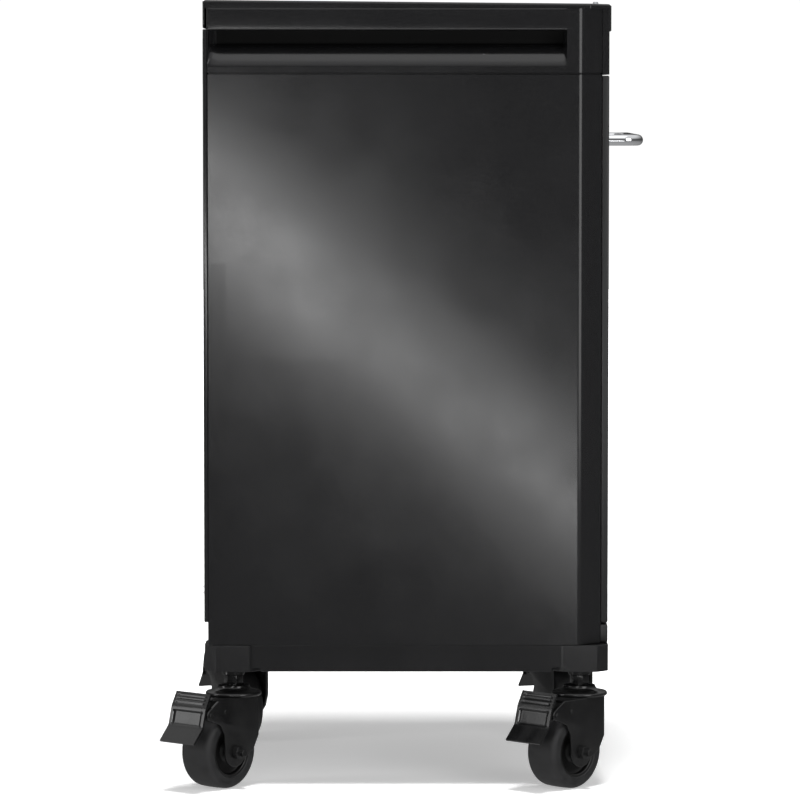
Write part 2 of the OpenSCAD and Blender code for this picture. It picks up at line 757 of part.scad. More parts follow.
// a toothed disc with its hub, bored for its shaft
module sprocket(x, y, r, teeth) {
    step = 360 / teeth;
    translate([x, y, sprocket_z]) difference() {
        union() {
            linear_extrude(sprocket_t) polygon([for (i = [0:teeth - 1], k = [0:3])
                let (a = (i + k / 4) * step, q = k < 2 ? r : r - 3) q * [cos(a), sin(a)]]);
            cylinder(h = sprocket_t + 5, r = journal_r + 4);
        }
        translate([0, 0, -over]) cylinder(h = sprocket_t + 7, r = journal_r);
    }
}
module left_sprocket() {
    color(steel) sprocket(-screw_x, ram_y, sprocket_r, 12);
}
module right_sprocket() {
    color(steel) sprocket(screw_x, ram_y, sprocket_r, 12);
}
module motor_sprocket() {
    color(steel) sprocket(0, motor_y, pinion_r, 9);
}
module motor_shaft() {
    color(steel) translate([0, motor_y, sprocket_z - 3])
        cylinder(h = deck_top + 10 - sprocket_z, r = journal_r);
}
module motor() {
    color(dark) difference() {
        union() {
            box([-50, motor_y - 50, deck_top], [50, motor_y + 50, deck_top + 12]);
            translate([0, motor_y, deck_top + 12]) cylinder(h = side_top - 6 - deck_top - 12, r = motor_r);
        }
        translate([0, motor_y, deck_top - over]) cylinder(h = 10, r = journal_r + running);
    }
}
// outline of a loop that runs round circles [centre, radius], listed anticlockwise
function loop_angle(a, b) =
    let (d = b[0] - a[0]) atan2(d[1], d[0]) - acos((a[1] - b[1]) / norm(d));
function loop(c, grow) = [for (i = [0:len(c) - 1])
    let (prev = c[(i + len(c) - 1) % len(c)], next = c[(i + 1) % len(c)],
         a0 = loop_angle(prev, c[i]), a1 = loop_angle(c[i], next), a2 = a1 < a0 ? a1 + 360 : a1)
    each arc(c[i][0], c[i][1] + grow, a0, a2, 12)];
module drive_chain() {
    run = [[[-screw_x, ram_y], sprocket_r], [[screw_x, ram_y], sprocket_r], [[0, motor_y], pinion_r]];
    color(steel) translate([0, 0, sprocket_z + 1]) linear_extrude(sprocket_t - 2) difference() {
        polygon(loop(run, loose + chain_t));
        polygon(loop(run, loose));
    }
}
module flange_bearing(z, h) {
    for (s = [-1, 1]) translate([s * screw_x, ram_y, z]) difference() {
        cylinder(h = h, r = bearing_r);
        translate([0, 0, -over]) cylinder(h = h + 2 * over, r = journal_r + running);
    }
}
module upper_bearings() {
    color(zinc) flange_bearing(deck_top, bearing_h);
}
module lower_bearings() {
    color(zinc) flange_bearing(pan_top, 12);
}
module limit_switches() {
    x = half_w - sheet;
    color(dark) {
        for (z = [cross_z + 12, cross_z + 12 - stroke])
            box([-x, ram_y + cross_half + 8, z], [-x + 8, ram_y + cross_half + 28, z + 20]);
        box([opening_half + 2, y_flange + sheet, deck_z - 32],
            [opening_half + 12, y_flange + sheet + 20, deck_z - 12]);
    }
}

base_frame();
corner_feet();
floor_pan();
left_side_panel();
right_side_panel();
rear_panel();
toe_panel();
left_head_shell();
right_head_shell();
head_deck();
top_cover();
control_fascia();
power_inlet();
cover_screws();
rear_screws();
motor();
drive_chain();
upper_bearings();
lower_bearings();
fixed_rails();
limit_switches();
control_board();
caster_stems();
drawer_front();
drawer_liner();
drawer_handle();
handle_screws();
bin();
moving_rails();
drawer_tray();
ram_plate();
ram_riser();
crosshead();
drive_nuts();
left_screw();
left_sprocket();
right_screw();
right_sprocket();
motor_shaft();
motor_sprocket();
start_button();
stop_button();
key_plug();
for (c = CASTERS, p = ["fork", "hub", "tyre", "pedal"])
    caster_part(c, p);
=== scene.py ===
# A freestanding trash compactor on four braked swivel casters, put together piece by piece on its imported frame.
import json
from math import acos, atan2, cos, hypot, pi, radians, sin, tan

import bmesh
import bpy
from mathutils import Matrix, Vector


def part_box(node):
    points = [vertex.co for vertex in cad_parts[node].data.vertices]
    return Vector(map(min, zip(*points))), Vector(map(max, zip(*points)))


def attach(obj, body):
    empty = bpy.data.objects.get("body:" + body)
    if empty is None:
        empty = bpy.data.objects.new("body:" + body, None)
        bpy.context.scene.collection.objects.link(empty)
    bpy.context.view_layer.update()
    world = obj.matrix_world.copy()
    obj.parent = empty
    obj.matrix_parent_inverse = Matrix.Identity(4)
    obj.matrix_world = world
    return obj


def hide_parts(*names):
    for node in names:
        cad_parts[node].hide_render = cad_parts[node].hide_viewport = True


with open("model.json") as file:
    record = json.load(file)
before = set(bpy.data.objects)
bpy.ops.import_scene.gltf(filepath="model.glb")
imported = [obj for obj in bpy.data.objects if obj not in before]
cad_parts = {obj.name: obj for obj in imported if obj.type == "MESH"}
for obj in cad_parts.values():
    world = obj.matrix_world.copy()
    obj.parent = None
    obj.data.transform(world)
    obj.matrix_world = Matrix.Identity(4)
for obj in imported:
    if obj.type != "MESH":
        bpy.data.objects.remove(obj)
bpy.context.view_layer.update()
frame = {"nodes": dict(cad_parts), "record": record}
scene = bpy.context.scene
MM = 0.001

# ---- Camera
# A long lens stands square to the cabinet's left side, a little under the height of its hand grip,
# and looks slightly down.
panel_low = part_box("left_side_panel")[0]
stand_off = 4.8
camera_height = 0.746
aim_height = 0.417
camera_y = 0.0069
camera_data = bpy.data.cameras.new("side_camera")
camera_data.sensor_width = 36
camera_data.lens = 203.4
camera = bpy.data.objects.new("side_camera", camera_data)
scene.collection.objects.link(camera)
camera.location = (panel_low[0] - stand_off, camera_y, camera_height)
look = Vector((panel_low[0], camera_y, aim_height)) - camera.location
camera.rotation_euler = look.to_track_quat("-Z", "Y").to_euler()
scene.camera = camera
scene.view_settings.view_transform = "Standard"

# ---- Studio
# A white room with a pale floor. Polished and painted surfaces see a bright ceiling and floor and a dim
# horizon between them, as they do between a studio's walls, and long strip lights draw the bands on the sides.
world = bpy.data.worlds.new("studio")
scene.world = world
world.use_nodes = True
tree = world.node_tree
tree.nodes.clear()
room = tree.nodes.new("ShaderNodeBackground")
room.inputs["Color"].default_value = (1, 1, 1, 1)
room.inputs["Strength"].default_value = 1.04
sky = tree.nodes.new("ShaderNodeBackground")
direction = tree.nodes.new("ShaderNodeTexCoord")
split = tree.nodes.new("ShaderNodeSeparateXYZ")
height = tree.nodes.new("ShaderNodeMapRange")
height.inputs["From Min"].default_value = -1
dim = tree.nodes.new("ShaderNodeBackground")
dim.inputs["Strength"].default_value = 0.12
bands = tree.nodes.new("ShaderNodeValToRGB")
for position, grey in ((0.0, 0.4), (0.3, 0.3), (0.44, 0.12), (0.53, 0.06), (0.62, 0.12), (0.85, 0.8)):
    stop = bands.color_ramp.elements.new(position)
    stop.color = (grey, grey, grey, 1)
bands.color_ramp.elements.remove(bands.color_ramp.elements[0])
bands.color_ramp.elements.remove(bands.color_ramp.elements[-1])
tree.links.new(direction.outputs["Generated"], split.inputs[0])
tree.links.new(split.outputs["Z"], height.inputs["Value"])
tree.links.new(height.outputs["Result"], bands.inputs["Fac"])
tree.links.new(bands.outputs["Color"], sky.inputs["Color"])
ray = tree.nodes.new("ShaderNodeLightPath")
seen = dim
for kind, background in (("Is Glossy Ray", sky), ("Is Camera Ray", room)):
    pick = tree.nodes.new("ShaderNodeMixShader")
    tree.links.new(ray.outputs[kind], pick.inputs["Fac"])
    tree.links.new(seen.outputs[0], pick.inputs[1])
    tree.links.new(background.outputs[0], pick.inputs[2])
    seen = pick
tree.links.new(seen.outputs[0], tree.nodes.new("ShaderNodeOutputWorld").inputs["Surface"])


def strip_light(name, place, towards, size, turn, power):
    """An unseen rectangular light at place that faces towards, turned about its own axis."""
    data = bpy.data.lights.new(name, "AREA")
    data.shape = "RECTANGLE"
    data.size, data.size_y = size
    data.energy = power
    lamp = bpy.data.objects.new(name, data)
    scene.collection.objects.link(lamp)
    facing = (Vector(towards) - Vector(place)).to_track_quat("-Z", "Y").to_matrix().to_4x4()
    lamp.matrix_world = Matrix.Translation(place) @ facing @ Matrix.Rotation(turn, 4, "Z")
    lamp.visible_camera = False
    return lamp


strip_light("band_light", (-2.0, 0.08, 0.375), (-0.19, 0.08, 0.375), (1.35, 0.13), radians(-26.5), 3.7)
strip_light("band_end_light", (-2.0, 0.42, 0.52), (-0.19, 0.42, 0.52), (0.5, 0.13), radians(-26.5), 1.9)
strip_light("bend_light", (-1.65, -1.2, 0.95), (-0.19, -0.19, 0.6), (0.9, 1.5), 0, 11)
strip_light("rear_light", (-0.5, 1.7, 0.5), (-0.19, 0.21, 0.3), (0.35, 1.5), 0, 5)
strip_light("top_light", (-0.5, 0.1, 2.4), (0, 0, 0.8), (1.6, 1.6), 0, 5)

# a soft, high key light draws the shadow on the floor; the cabinet's paint doesn't mirror it
sun = bpy.data.lights.new("key_light", "SUN")
sun.energy = 2.1
sun.angle = radians(11)
key_light = bpy.data.objects.new("key_light", sun)
scene.collection.objects.link(key_light)
key_light.rotation_euler = (0, radians(-13), 0)
key_light.visible_glossy = False

floor_mesh = bpy.data.meshes.new("studio_floor")
floor_mesh.from_pydata([(-12, -12, 0), (12, -12, 0), (12, 12, 0), (-12, 12, 0)], [], [(0, 1, 2, 3)])
floor = bpy.data.objects.new("studio_floor", floor_mesh)
scene.collection.objects.link(floor)
floor.visible_glossy = False
floor.visible_shadow = False
floor_paint = bpy.data.materials.new("studio_floor")
floor_paint.use_nodes = True
floor_shader = floor_paint.node_tree.nodes["Principled BSDF"]
floor_shader.inputs["Base Color"].default_value = (0.97, 0.97, 0.97, 1)
floor_shader.inputs["Roughness"].default_value = 1
floor_shader.inputs["Specular IOR Level"].default_value = 0
floor_shader.inputs["Emission Color"].default_value = (1, 1, 1, 1)
# the floor glows with painted light: a dim glow stands in for bounced light in the shadow, and a brighter one away from
# the cabinet turns the floor as white as the room
tree = floor_paint.node_tree
place = tree.nodes.new("ShaderNodeTexCoord")
away = tree.nodes.new("ShaderNodeVectorMath")
away.operation = "LENGTH"
painted_fill_glow = tree.nodes.new("ShaderNodeMapRange")
for name, value in (("From Min", 0.5), ("From Max", 0.9), ("To Min", 0.385), ("To Max", 1.05)):
    painted_fill_glow.inputs[name].default_value = value
tree.links.new(place.outputs["Object"], away.inputs[0])
tree.links.new(away.outputs["Value"], painted_fill_glow.inputs["Value"])
tree.links.new(painted_fill_glow.outputs["Result"], floor_shader.inputs["Emission Strength"])
floor_mesh.materials.append(floor_paint)

# ---- Base frame
# A ring of folded steel channel under the cabinet, welded at its corners and powder-coated fine-texture black.
# It stands in a little from the cabinet's sides, and the corner feet close over its corners.


def soften(mesh, angle):
    """A mesh shaded smooth, but hard at edges over that many degrees."""
    mesh.shade_smooth()
    mesh.set_sharp_from_angle(angle=radians(angle))
    return mesh


def new_piece(name, mesh, angle=40):
    """A softened mesh put into the scene as an object."""
    piece = bpy.data.objects.new(name, soften(mesh, angle))
    scene.collection.objects.link(piece)
    return piece


def steps(material):
    """The node tree of a material, its shader, and its object coordinates."""
    material.use_nodes = True
    nodes = material.node_tree.nodes
    return material.node_tree, nodes["Principled BSDF"], nodes.new("ShaderNodeTexCoord").outputs["Object"]


def noise(tree, where, scale, detail=4, stretch=(1, 1, 1)):
    """A noise value at that many cells a metre, drawn out along an axis by stretch."""
    mapping = tree.nodes.new("ShaderNodeMapping")
    mapping.inputs["Scale"].default_value = stretch
    tree.links.new(where, mapping.inputs["Vector"])
    texture = tree.nodes.new("ShaderNodeTexNoise")
    texture.inputs["Scale"].default_value = scale
    texture.inputs["Detail"].default_value = detail
    tree.links.new(mapping.outputs[0], texture.inputs["Vector"])
    return texture.outputs["Fac"]


def spread(tree, value, low, high, source=(0.3, 0.7)):
    """Maps a value that runs over source onto low to high."""
    node = tree.nodes.new("ShaderNodeMapRange")
    node.inputs["From Min"].default_value, node.inputs["From Max"].default_value = source
    node.inputs["To Min"].default_value, node.inputs["To Max"].default_value = low, high
    tree.links.new(value, node.inputs["Value"])
    return node.outputs["Result"]


def shade(tree, value, dark, light):
    """A colour between dark and light, by value."""
    ramp = tree.nodes.new("ShaderNodeValToRGB")
    ramp.color_ramp.elements[0].color = (*dark, 1)
    ramp.color_ramp.elements[1].color = (*light, 1)
    tree.links.new(value, ramp.inputs["Fac"])
    return ramp.outputs["Color"]


def relief(tree, shader, *layers):
    """Stacks bumps of (value, strength, depth in metres) on a shader."""
    below = None
    for value, strength, depth in layers:
        bump = tree.nodes.new("ShaderNodeBump")
        bump.inputs["Strength"].default_value = strength
        bump.inputs["Distance"].default_value = depth
        tree.links.new(value, bump.inputs["Height"])
        if below:
            tree.links.new(below, bump.inputs["Normal"])
        below = bump.outputs["Normal"]
    tree.links.new(below, shader.inputs["Normal"])


def powder_coat(name, dark, light, gloss, grain=900, bump=0.06):
    """Baked powder paint: a fine leather-like grain whose lighter grains are painted into the colour as small glints,
    and a faint change of gloss.
    """
    material = bpy.data.materials.new(name)
    tree, shader, where = steps(material)
    fine = noise(tree, where, grain, 3)
    wide = noise(tree, where, 14, 5)
    # the fine grain's lighter specks in the colour are painted glints
    tree.links.new(shade(tree, spread(tree, fine, 0, 1), dark, light), shader.inputs["Base Color"])
    gloss_now = tree.nodes.new("ShaderNodeMath")
    gloss_now.operation = "ADD"
    tree.links.new(spread(tree, wide, gloss - 0.02, gloss + 0.03), gloss_now.inputs[0])
    tree.links.new(spread(tree, fine, -0.03, 0.03), gloss_now.inputs[1])
    tree.links.new(gloss_now.outputs[0], shader.inputs["Roughness"])
    relief(tree, shader, (fine, bump, 0.0001))
    return material


def skin(node, edge, segments=2, angle=28):
    """A copy of a CAD node with its edges rolled over, as painted sheet and castings have them."""
    mesh = frame["nodes"][node].data.copy()
    mesh.name = node + "_skin"
    mesh.materials.clear()
    piece = bpy.data.objects.new(node + "_skin", mesh)
    scene.collection.objects.link(piece)
    shell = bmesh.new()
    shell.from_mesh(mesh)
    bmesh.ops.remove_doubles(shell, verts=shell.verts, dist=1e-6)
    bmesh.ops.dissolve_limit(shell, angle_limit=radians(0.4), verts=shell.verts, edges=shell.edges)
    shell.to_mesh(mesh)
    shell.free()
    roll(piece, edge, segments, angle)
    return piece


def roll(piece, edge, segments=2, angle=28):
    """Rolls a piece's sharp edges over and shades it smooth between them."""
    bevel = piece.modifiers.new("rolled_edges", "BEVEL")
    bevel.width = edge
    bevel.segments = segments
    bevel.limit_method = "ANGLE"
    bevel.angle_limit = radians(angle)
    bevel.harden_normals = True
    soften(piece.data, angle)


def fit(piece, material, body, finish, *nodes):
    """Paints a piece, rides it on its body and lets it stand for its CAD nodes; its finish is not used."""
    piece.data.materials.clear()
    piece.data.materials.append(material)
    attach(piece, body)
    if nodes:
        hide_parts(*nodes)
    return piece


cabinet_paint = powder_coat("fine_texture_black", (0.0055, 0.0055, 0.006), (0.011, 0.011, 0.0115), 0.175)
fit(skin("base_frame", 0.8 * MM), cabinet_paint, "cabinet", "cabinet_black", "base_frame")

# ---- Corner feet
# Four cast blocks with cut corners that cap the ring's corners and take the casters' threaded stems.
# Their satin black is a little smoother than the sheet's, so the cut corners catch the light.
foot_paint = powder_coat("satin_casting_black", (0.0075, 0.0075, 0.008), (0.0105, 0.0105, 0.011), 0.22, 600, 0.015)
fit(skin("corner_feet", 1.2 * MM, 3), foot_paint, "cabinet", "foot_black", "corner_feet")

# ---- Floor pan and head deck
# Two flat steel sheets, painted like the cabinet: the pan closes the cabinet's bottom, and the deck carries the
# motor. Only their edges show, in the seams above and below the side panels.
for sheet_part in ("floor_pan", "head_deck"):
    fit(skin(sheet_part, 0.4 * MM), cabinet_paint, "cabinet", "cabinet_black", sheet_part)

# ---- Side panels
# One folded steel sheet on each side: a rear flange, the wall, a cut front corner and a front flange that the
# drawer closes against. That front fold is wide, and the others have the small radius of a press brake.


def corner_arc(before, corner, after, radius, pieces=6):
    """Points that round the corner of a path by radius."""
    a = (before - corner).normalized()
    b = (after - corner).normalized()
    half = acos(max(-1, min(1, a.dot(b)))) / 2
    reach = radius / tan(half)
    centre = corner + (a + b).normalized() * (radius / sin(half))
    start, end = corner + a * reach - centre, corner + b * reach - centre
    turn = atan2(start.x * end.y - start.y * end.x, start.dot(end))
    return [centre + Matrix.Rotation(turn * i / pieces, 2) @ start for i in range(pieces + 1)]


def fold_path(points, radii):
    """A folded sheet's path in plan: its corners, each with its bend's radius."""
    points = [Vector(p) for p in points]
    path = [points[0]]
    for before, corner, after, radius in zip(points, points[1:], points[2:], radii):
        path += corner_arc(before, corner, after, radius)
    return path + [points[-1]]


def right_side_path(front_radius):
    """The right-hand side in plan, from the rear flange to the front flange."""
    low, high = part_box("right_side_panel")
    front_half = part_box("drawer_front")[1][0]
    bend_y = low[1] + high[0] - front_half
    return fold_path([(low[0], high[1]), (high[0], high[1]), (high[0], bend_y),
                      (front_half, low[1]), (low[0], low[1])], (1.5 * MM, front_radius, 3 * MM))


def swept_sheet(name, path, levels, depth_at, side):
    """A sheet that follows path in plan through levels of (height, depth); depth_at gives how much of the depth
    holds at each point. side is 1 for the right-hand side and -1 for the left."""
    count = len(path)
    points = []
    for height_now, depth in levels:
        for i, p in enumerate(path):
            ahead = path[min(i + 1, count - 1)] - path[max(i - 1, 0)]
            inward = Vector((ahead.y, -ahead.x)).normalized()
            q = p + inward * depth * depth_at(p)
            points.append((side * q.x, q.y, height_now))
    faces = []
    for row in range(len(levels) - 1):
        for i in range(count - 1):
            quad = [row * count + i, row * count + i + 1, (row + 1) * count + i + 1, (row + 1) * count + i]
            faces.append(quad if side > 0 else quad[::-1])
    mesh = bpy.data.meshes.new(name)
    mesh.from_pydata(points, [], faces)
    return new_piece(name, mesh)


def thicken(piece, thickness, edge, offset=-1):
    """Gives a skin its wall, and rolls the wall's cut edges."""
    wall = piece.modifiers.new("sheet", "SOLIDIFY")
    wall.thickness = thickness
    wall.offset = offset
    roll_over = piece.modifiers.new("rolled_edges", "BEVEL")
    roll_over.width = edge
    roll_over.segments = 2
    roll_over.limit_method = "ANGLE"
    roll_over.angle_limit = radians(50)
    roll_over.harden_normals = True


SIDES = (("left", -1), ("right", 1))
bend_radius = 11 * MM
for side_name, side in SIDES:
    low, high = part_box(f"{side_name}_side_panel")
    piece = swept_sheet(f"{side_name}_side_skin", right_side_path(bend_radius),
                        [(high[2], 0), (high[2] * 0.7 + low[2] * 0.3, 0), (high[2] * 0.3 + low[2] * 0.7, 0),
                         (low[2], 0)], lambda p: 0, side)
    thicken(piece, 1.5 * MM, 0.35 * MM)
    fit(piece, cabinet_paint, "cabinet", "cabinet_black", f"{side_name}_side_panel")

# ---- Head shells
# The head's sides are drawn from one sheet with a long hand grip: a square undercut above and a rounded sill
# below. The grip runs out in a curve at the rear and in a steep wall at the front.
grip_depth = 25 * MM
grip_radius = 1.8 * MM
top_roll = 1.3 * MM
sill_end = radians(60)
# painted shade: a near-black, dull paint for the grip's upright back, which lies in shadow under the undercut
recess_shade_paint = powder_coat("recess_black", (0.0008, 0.0008, 0.0008), (0.0015, 0.0015, 0.0015), 0.7)
recess_shade_paint.node_tree.nodes["Principled BSDF"].inputs["Specular IOR Level"].default_value = 0.15
for side_name, side in SIDES:
    low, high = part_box("right_head_shell")
    grip_low = low[2] + 7 * MM
    grip_mid = grip_low + 23 * MM
    grip_top = grip_mid + 15 * MM
    levels = [(high[2] - top_roll * (1 - cos(a)), top_roll * (1 - sin(a))) for a in (pi / 8 * i for i in range(5))]
    levels += [(grip_top + 6 * MM, 0), (grip_top + grip_radius, 0)]
    for i in range(1, 6):
        a = i / 5 * pi / 2
        levels.append((grip_top + grip_radius * (1 - sin(a)), grip_radius * (1 - cos(a))))
    levels += [(grip_top, grip_depth * f) for f in (0.3, 0.6, 0.88)]
    for i in range(5):
        a = i / 4 * pi / 2
        levels.append((grip_top - 0.8 * MM * (1 - cos(a)), grip_depth - 0.8 * MM * (1 - sin(a))))
    for i in range(5):
        a = i / 4 * pi / 2
        levels.append((grip_mid + 2 * MM * (1 - sin(a)), grip_depth - 2 * MM * (1 - cos(a))))
    for i in range(2, 17):
        b = i / 16 * sill_end
        levels.append((grip_mid - 23 * MM * (1 - cos(b)) / (1 - cos(sill_end)),
                       grip_depth * (1 - sin(b) / sin(sill_end))))
    levels += [(grip_low - 1.2 * MM, 0), (grip_low - 3.5 * MM, 0), (low[2], 0)]
    grip_rear, grip_front = high[1] - 1.2 * MM, low[1] + 38.5 * MM

    def grip_share(p):
        """How deep the grip is at a point of the wall: none at its ends, all of it between them."""
        if p.x < high[0] - 1e-6:
            return 0
        at_rear = max(0, min(1, (grip_rear - p.y) / (14 * MM)))
        at_front = max(0, min(1, (p.y - grip_front) / (4 * MM)))
        return (1 - (1 - at_rear) ** 2) ** 0.5 * (1 - (1 - at_front) ** 2) ** 0.5

    plan = right_side_path(bend_radius)
    wall = [p for p in plan if abs(p.x - high[0]) < 1e-6]
    rear_y, bend_y = max(p.y for p in wall), min(p.y for p in wall)
    stations = [grip_rear - 14 * MM * (1 - cos(i / 12 * pi / 2)) for i in range(13)]
    stations += [stations[-1] + (grip_front + 4 * MM - stations[-1]) * i / 12 for i in range(1, 12)]
    stations += [grip_front + 4 * MM * (1 - sin(i / 8 * pi / 2)) for i in range(9)]
    first = plan.index(wall[0]) + 1
    plan[first:first] = [Vector((high[0], y)) for y in stations if bend_y < y < rear_y]
    piece = swept_sheet(f"{side_name}_head_skin", plan, levels, grip_share, side)
    thicken(piece, 1.5 * MM, 0.35 * MM)
    fit(piece, cabinet_paint, "cabinet", "cabinet_black", f"{side_name}_head_shell")
    # painted shade: the grip's upright back gets a near-black, dull paint where it lies in the undercut's shadow
    piece.data.materials.append(recess_shade_paint)
    back = high[0] - grip_depth * 0.9
    for face in piece.data.polygons:
        if abs(face.center.x) < back and face.center.z > grip_mid and grip_front < face.center.y < grip_rear:
            face.material_index = 1

# ---- Rear panel, toe panel, fascia and drawer front
# Shallow pans folded from sheet: the front ones close the cut corners' middle, the rear one is screwed on.
# A pan's face is pressed over a small radius on all four sides.


def folded_pan(node, face, radius, thickness):
    """A pan with its face towards -Y or +Y, rounded where the face turns into its edges."""
    low, high = (Vector(v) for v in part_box(node))
    mesh = bpy.data.meshes.new(node + "_skin")
    pan = bmesh.new()
    bmesh.ops.create_cube(pan, size=1)
    for v in pan.verts:
        v.co = Vector((low[i] if v.co[i] < 0 else high[i] for i in range(3)))
    open_side = max(pan.faces, key=lambda f: -face * f.calc_center_median().y)
    rim = set(open_side.edges)
    bmesh.ops.delete(pan, geom=[open_side], context="FACES_ONLY")
    bmesh.ops.bevel(pan, geom=[e for e in pan.edges if e not in rim], offset=radius, segments=4,
                    profile=0.5, affect="EDGES", clamp_overlap=True)
    pan.to_mesh(mesh)
    pan.free()
    piece = new_piece(node + "_skin", mesh)
    thicken(piece, thickness, 0.3 * MM)
    return piece


fit(folded_pan("rear_panel", 1, 1.2 * MM, 1.4 * MM), cabinet_paint, "cabinet", "cabinet_black", "rear_panel")
front_paint = powder_coat("front_texture_black", (0.0055, 0.0055, 0.006), (0.011, 0.011, 0.0115), 0.34)
fit(folded_pan("toe_panel", -1, 1.6 * MM, 1.4 * MM), front_paint, "cabinet", "cabinet_black", "toe_panel")
fit(folded_pan("drawer_front", -1, 1.6 * MM, 1.4 * MM), front_paint, "drawer", "cabinet_black",
    "drawer_front")
fit(skin("control_fascia", 0.5 * MM), cabinet_paint, "cabinet", "cabinet_black", "control_fascia")

# ---- Top cover
# One sheet-steel lid, drawn over a small radius along its top edges and cut back at the front corners. It
# slopes to the front, and its front and rear rims hang down over the fascia and the rear panel.
cover_low, cover_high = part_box("top_cover")
side_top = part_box("left_head_shell")[1][2]
front_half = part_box("drawer_front")[1][0]
cover_cut = cover_high[0] - front_half
slope = tan(radians(0.55))
cover_edge = 2.6 * MM
cover_in = 0.9 * MM


def cover_top(y):
    """The cover's height at a distance back."""
    return cover_high[2] - (cover_high[1] - y) * slope


def cover_outline(inset):
    """The cover in plan, drawn in by inset, with its corners a little rounded."""
    k = inset * tan(radians(22.5))
    right = [Vector((front_half - k, cover_low[1] + inset)),
             Vector((cover_high[0] - inset, cover_low[1] + cover_cut + k)),
             Vector((cover_high[0] - inset, cover_high[1] - inset))]
    ring = right + [Vector((-p.x, p.y)) for p in reversed(right)]
    count = len(ring)
    radius = 3 * MM - inset * 0.5
    return [q for i in range(count)
            for q in corner_arc(ring[i - 1], ring[i], ring[(i + 1) % count], radius, 4)]


rings = []
for i in range(6):
    a = i / 5 * pi / 2
    rings.append((cover_outline(cover_in + cover_edge * (1 - cos(a))), cover_edge * (1 - sin(a))))
points, faces = [], []
loop_size = len(rings[0][0])
for p in rings[0][0]:
    points.append((p.x, p.y, side_top))
for ring, drop in rings:
    points += [(p.x, p.y, cover_top(p.y) - drop) for p in ring]
for row in range(len(rings)):
    for i in range(loop_size):
        j = (i + 1) % loop_size
        faces.append((row * loop_size + i, row * loop_size + j,
                      (row + 1) * loop_size + j, (row + 1) * loop_size + i))
faces.append(tuple(len(rings) * loop_size + i for i in range(loop_size)))
cover_mesh = bpy.data.meshes.new("top_cover_skin")
cover_mesh.from_pydata(points, [], faces)
cover = new_piece("top_cover_skin", cover_mesh, 50)
thicken(cover, 1.6 * MM, 0.3 * MM)
fit(cover, cabinet_paint, "cabinet", "cabinet_black", "top_cover")


def rim_strip(name, y_out, y_in, z_low, z_high, half, radius):
    """A hanging rim: a strip of the cover's sheet with rounded lower corners and rolled edges."""
    corners = [Vector((-half, z_high)), Vector((-half, z_low)), Vector((half, z_low)), Vector((half, z_high))]
    outline = [corners[0]] + corner_arc(*corners[:3], radius, 8) + corner_arc(*corners[1:], radius, 8) \
        + [corners[3]]
    mesh = bpy.data.meshes.new(name)
    strip = bmesh.new()
    front = [strip.verts.new((p.x, min(y_out, y_in), p.y)) for p in outline]
    back = [strip.verts.new((p.x, max(y_out, y_in), p.y)) for p in outline]
    strip.faces.new(front)
    strip.faces.new(back[::-1])
    for i in range(len(outline)):
        j = (i + 1) % len(outline)
        strip.faces.new((front[j], front[i], back[i], back[j]))
    bmesh.ops.recalc_face_normals(strip, faces=strip.faces)
    strip.to_mesh(mesh)
    strip.free()
    piece = bpy.data.objects.new(name, mesh)
    scene.collection.objects.link(piece)
    roll(piece, 0.8 * MM, 3, 50)
    return piece


front_rim = rim_strip("cover_front_rim", cover_low[1], cover_low[1] + 2 * MM, cover_low[2],
                      cover_top(cover_low[1]) - 1.4 * MM, front_half - 0.5 * MM, 3 * MM)
rear_rim = rim_strip("cover_rear_rim", cover_high[1], cover_high[1] - 2 * MM, cover_low[2] + 3 * MM,
                     cover_top(cover_high[1]) - 1.4 * MM, cover_high[0] - 0.2 * MM, 5 * MM)
for rim in (front_rim, rear_rim):
    fit(rim, cabinet_paint, "cabinet", "cabinet_black")

# ---- Drawer handle
# A chromed steel bow, bent from one round bar and screwed on from inside. Its polish reflects the room, and
# only a trace of fingerprints dulls it.


def chrome(name, rough=0.07):
    """Bright chrome plating."""
    material = bpy.data.materials.new(name)
    tree, shader, where = steps(material)
    shader.inputs["Metallic"].default_value = 1
    shader.inputs["Base Color"].default_value = (0.78, 0.79, 0.81, 1)
    tree.links.new(spread(tree, noise(tree, where, 60, 4), rough * 0.7, rough * 1.6), shader.inputs["Roughness"])
    relief(tree, shader, (noise(tree, where, 700, 2), 0.02, 0.0001))
    return material


def tube(name, path, radius, sides=24, caps=True):
    """A round bar along a path of points, closed at both ends."""
    mesh = bpy.data.meshes.new(name)
    bar = bmesh.new()
    rows = []
    across = None
    for i, p in enumerate(path):
        ahead = (path[min(i + 1, len(path) - 1)] - path[max(i - 1, 0)]).normalized()
        across = across or ahead.orthogonal().normalized()
        across = (across - ahead * across.dot(ahead)).normalized()
        up = ahead.cross(across)
        rows.append([bar.verts.new(p + radius * (across * cos(a) + up * sin(a)))
                     for a in (2 * pi * k / sides for k in range(sides))])
    for lower, upper in zip(rows, rows[1:]):
        for k in range(sides):
            m = (k + 1) % sides
            bar.faces.new((lower[k], lower[m], upper[m], upper[k]))
    if caps:
        bar.faces.new(rows[0][::-1])
        bar.faces.new(rows[-1])
    bar.to_mesh(mesh)
    bar.free()
    return new_piece(name, mesh, 50)


low, high = (Vector(v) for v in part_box("drawer_handle"))
rod = (high.z - low.z) / 2
bow = 16 * MM
mid_z = (high.z + low.z) / 2
x0, x1, y_out = low.x + rod, high.x - rod, low.y + rod
corners = [Vector((x0, high.y)), Vector((x0, y_out)), Vector((x1, y_out)), Vector((x1, high.y))]
flat = [corners[0]] + corner_arc(*corners[:3], bow, 14) + corner_arc(*corners[1:], bow, 14) + [corners[3]]
handle = tube("drawer_handle_bow", [Vector((p.x, p.y, mid_z)) for p in flat], rod, 48)
fit(handle, chrome("polished_chrome"), "drawer", "handle_chrome", "drawer_handle")

# ---- Drawer liner, bin, tray and rails
# Behind the steel front sits a moulded liner. The bin is moulded in grey plastic and stands in a folded,
# galvanised tray, which runs on two steel slides.


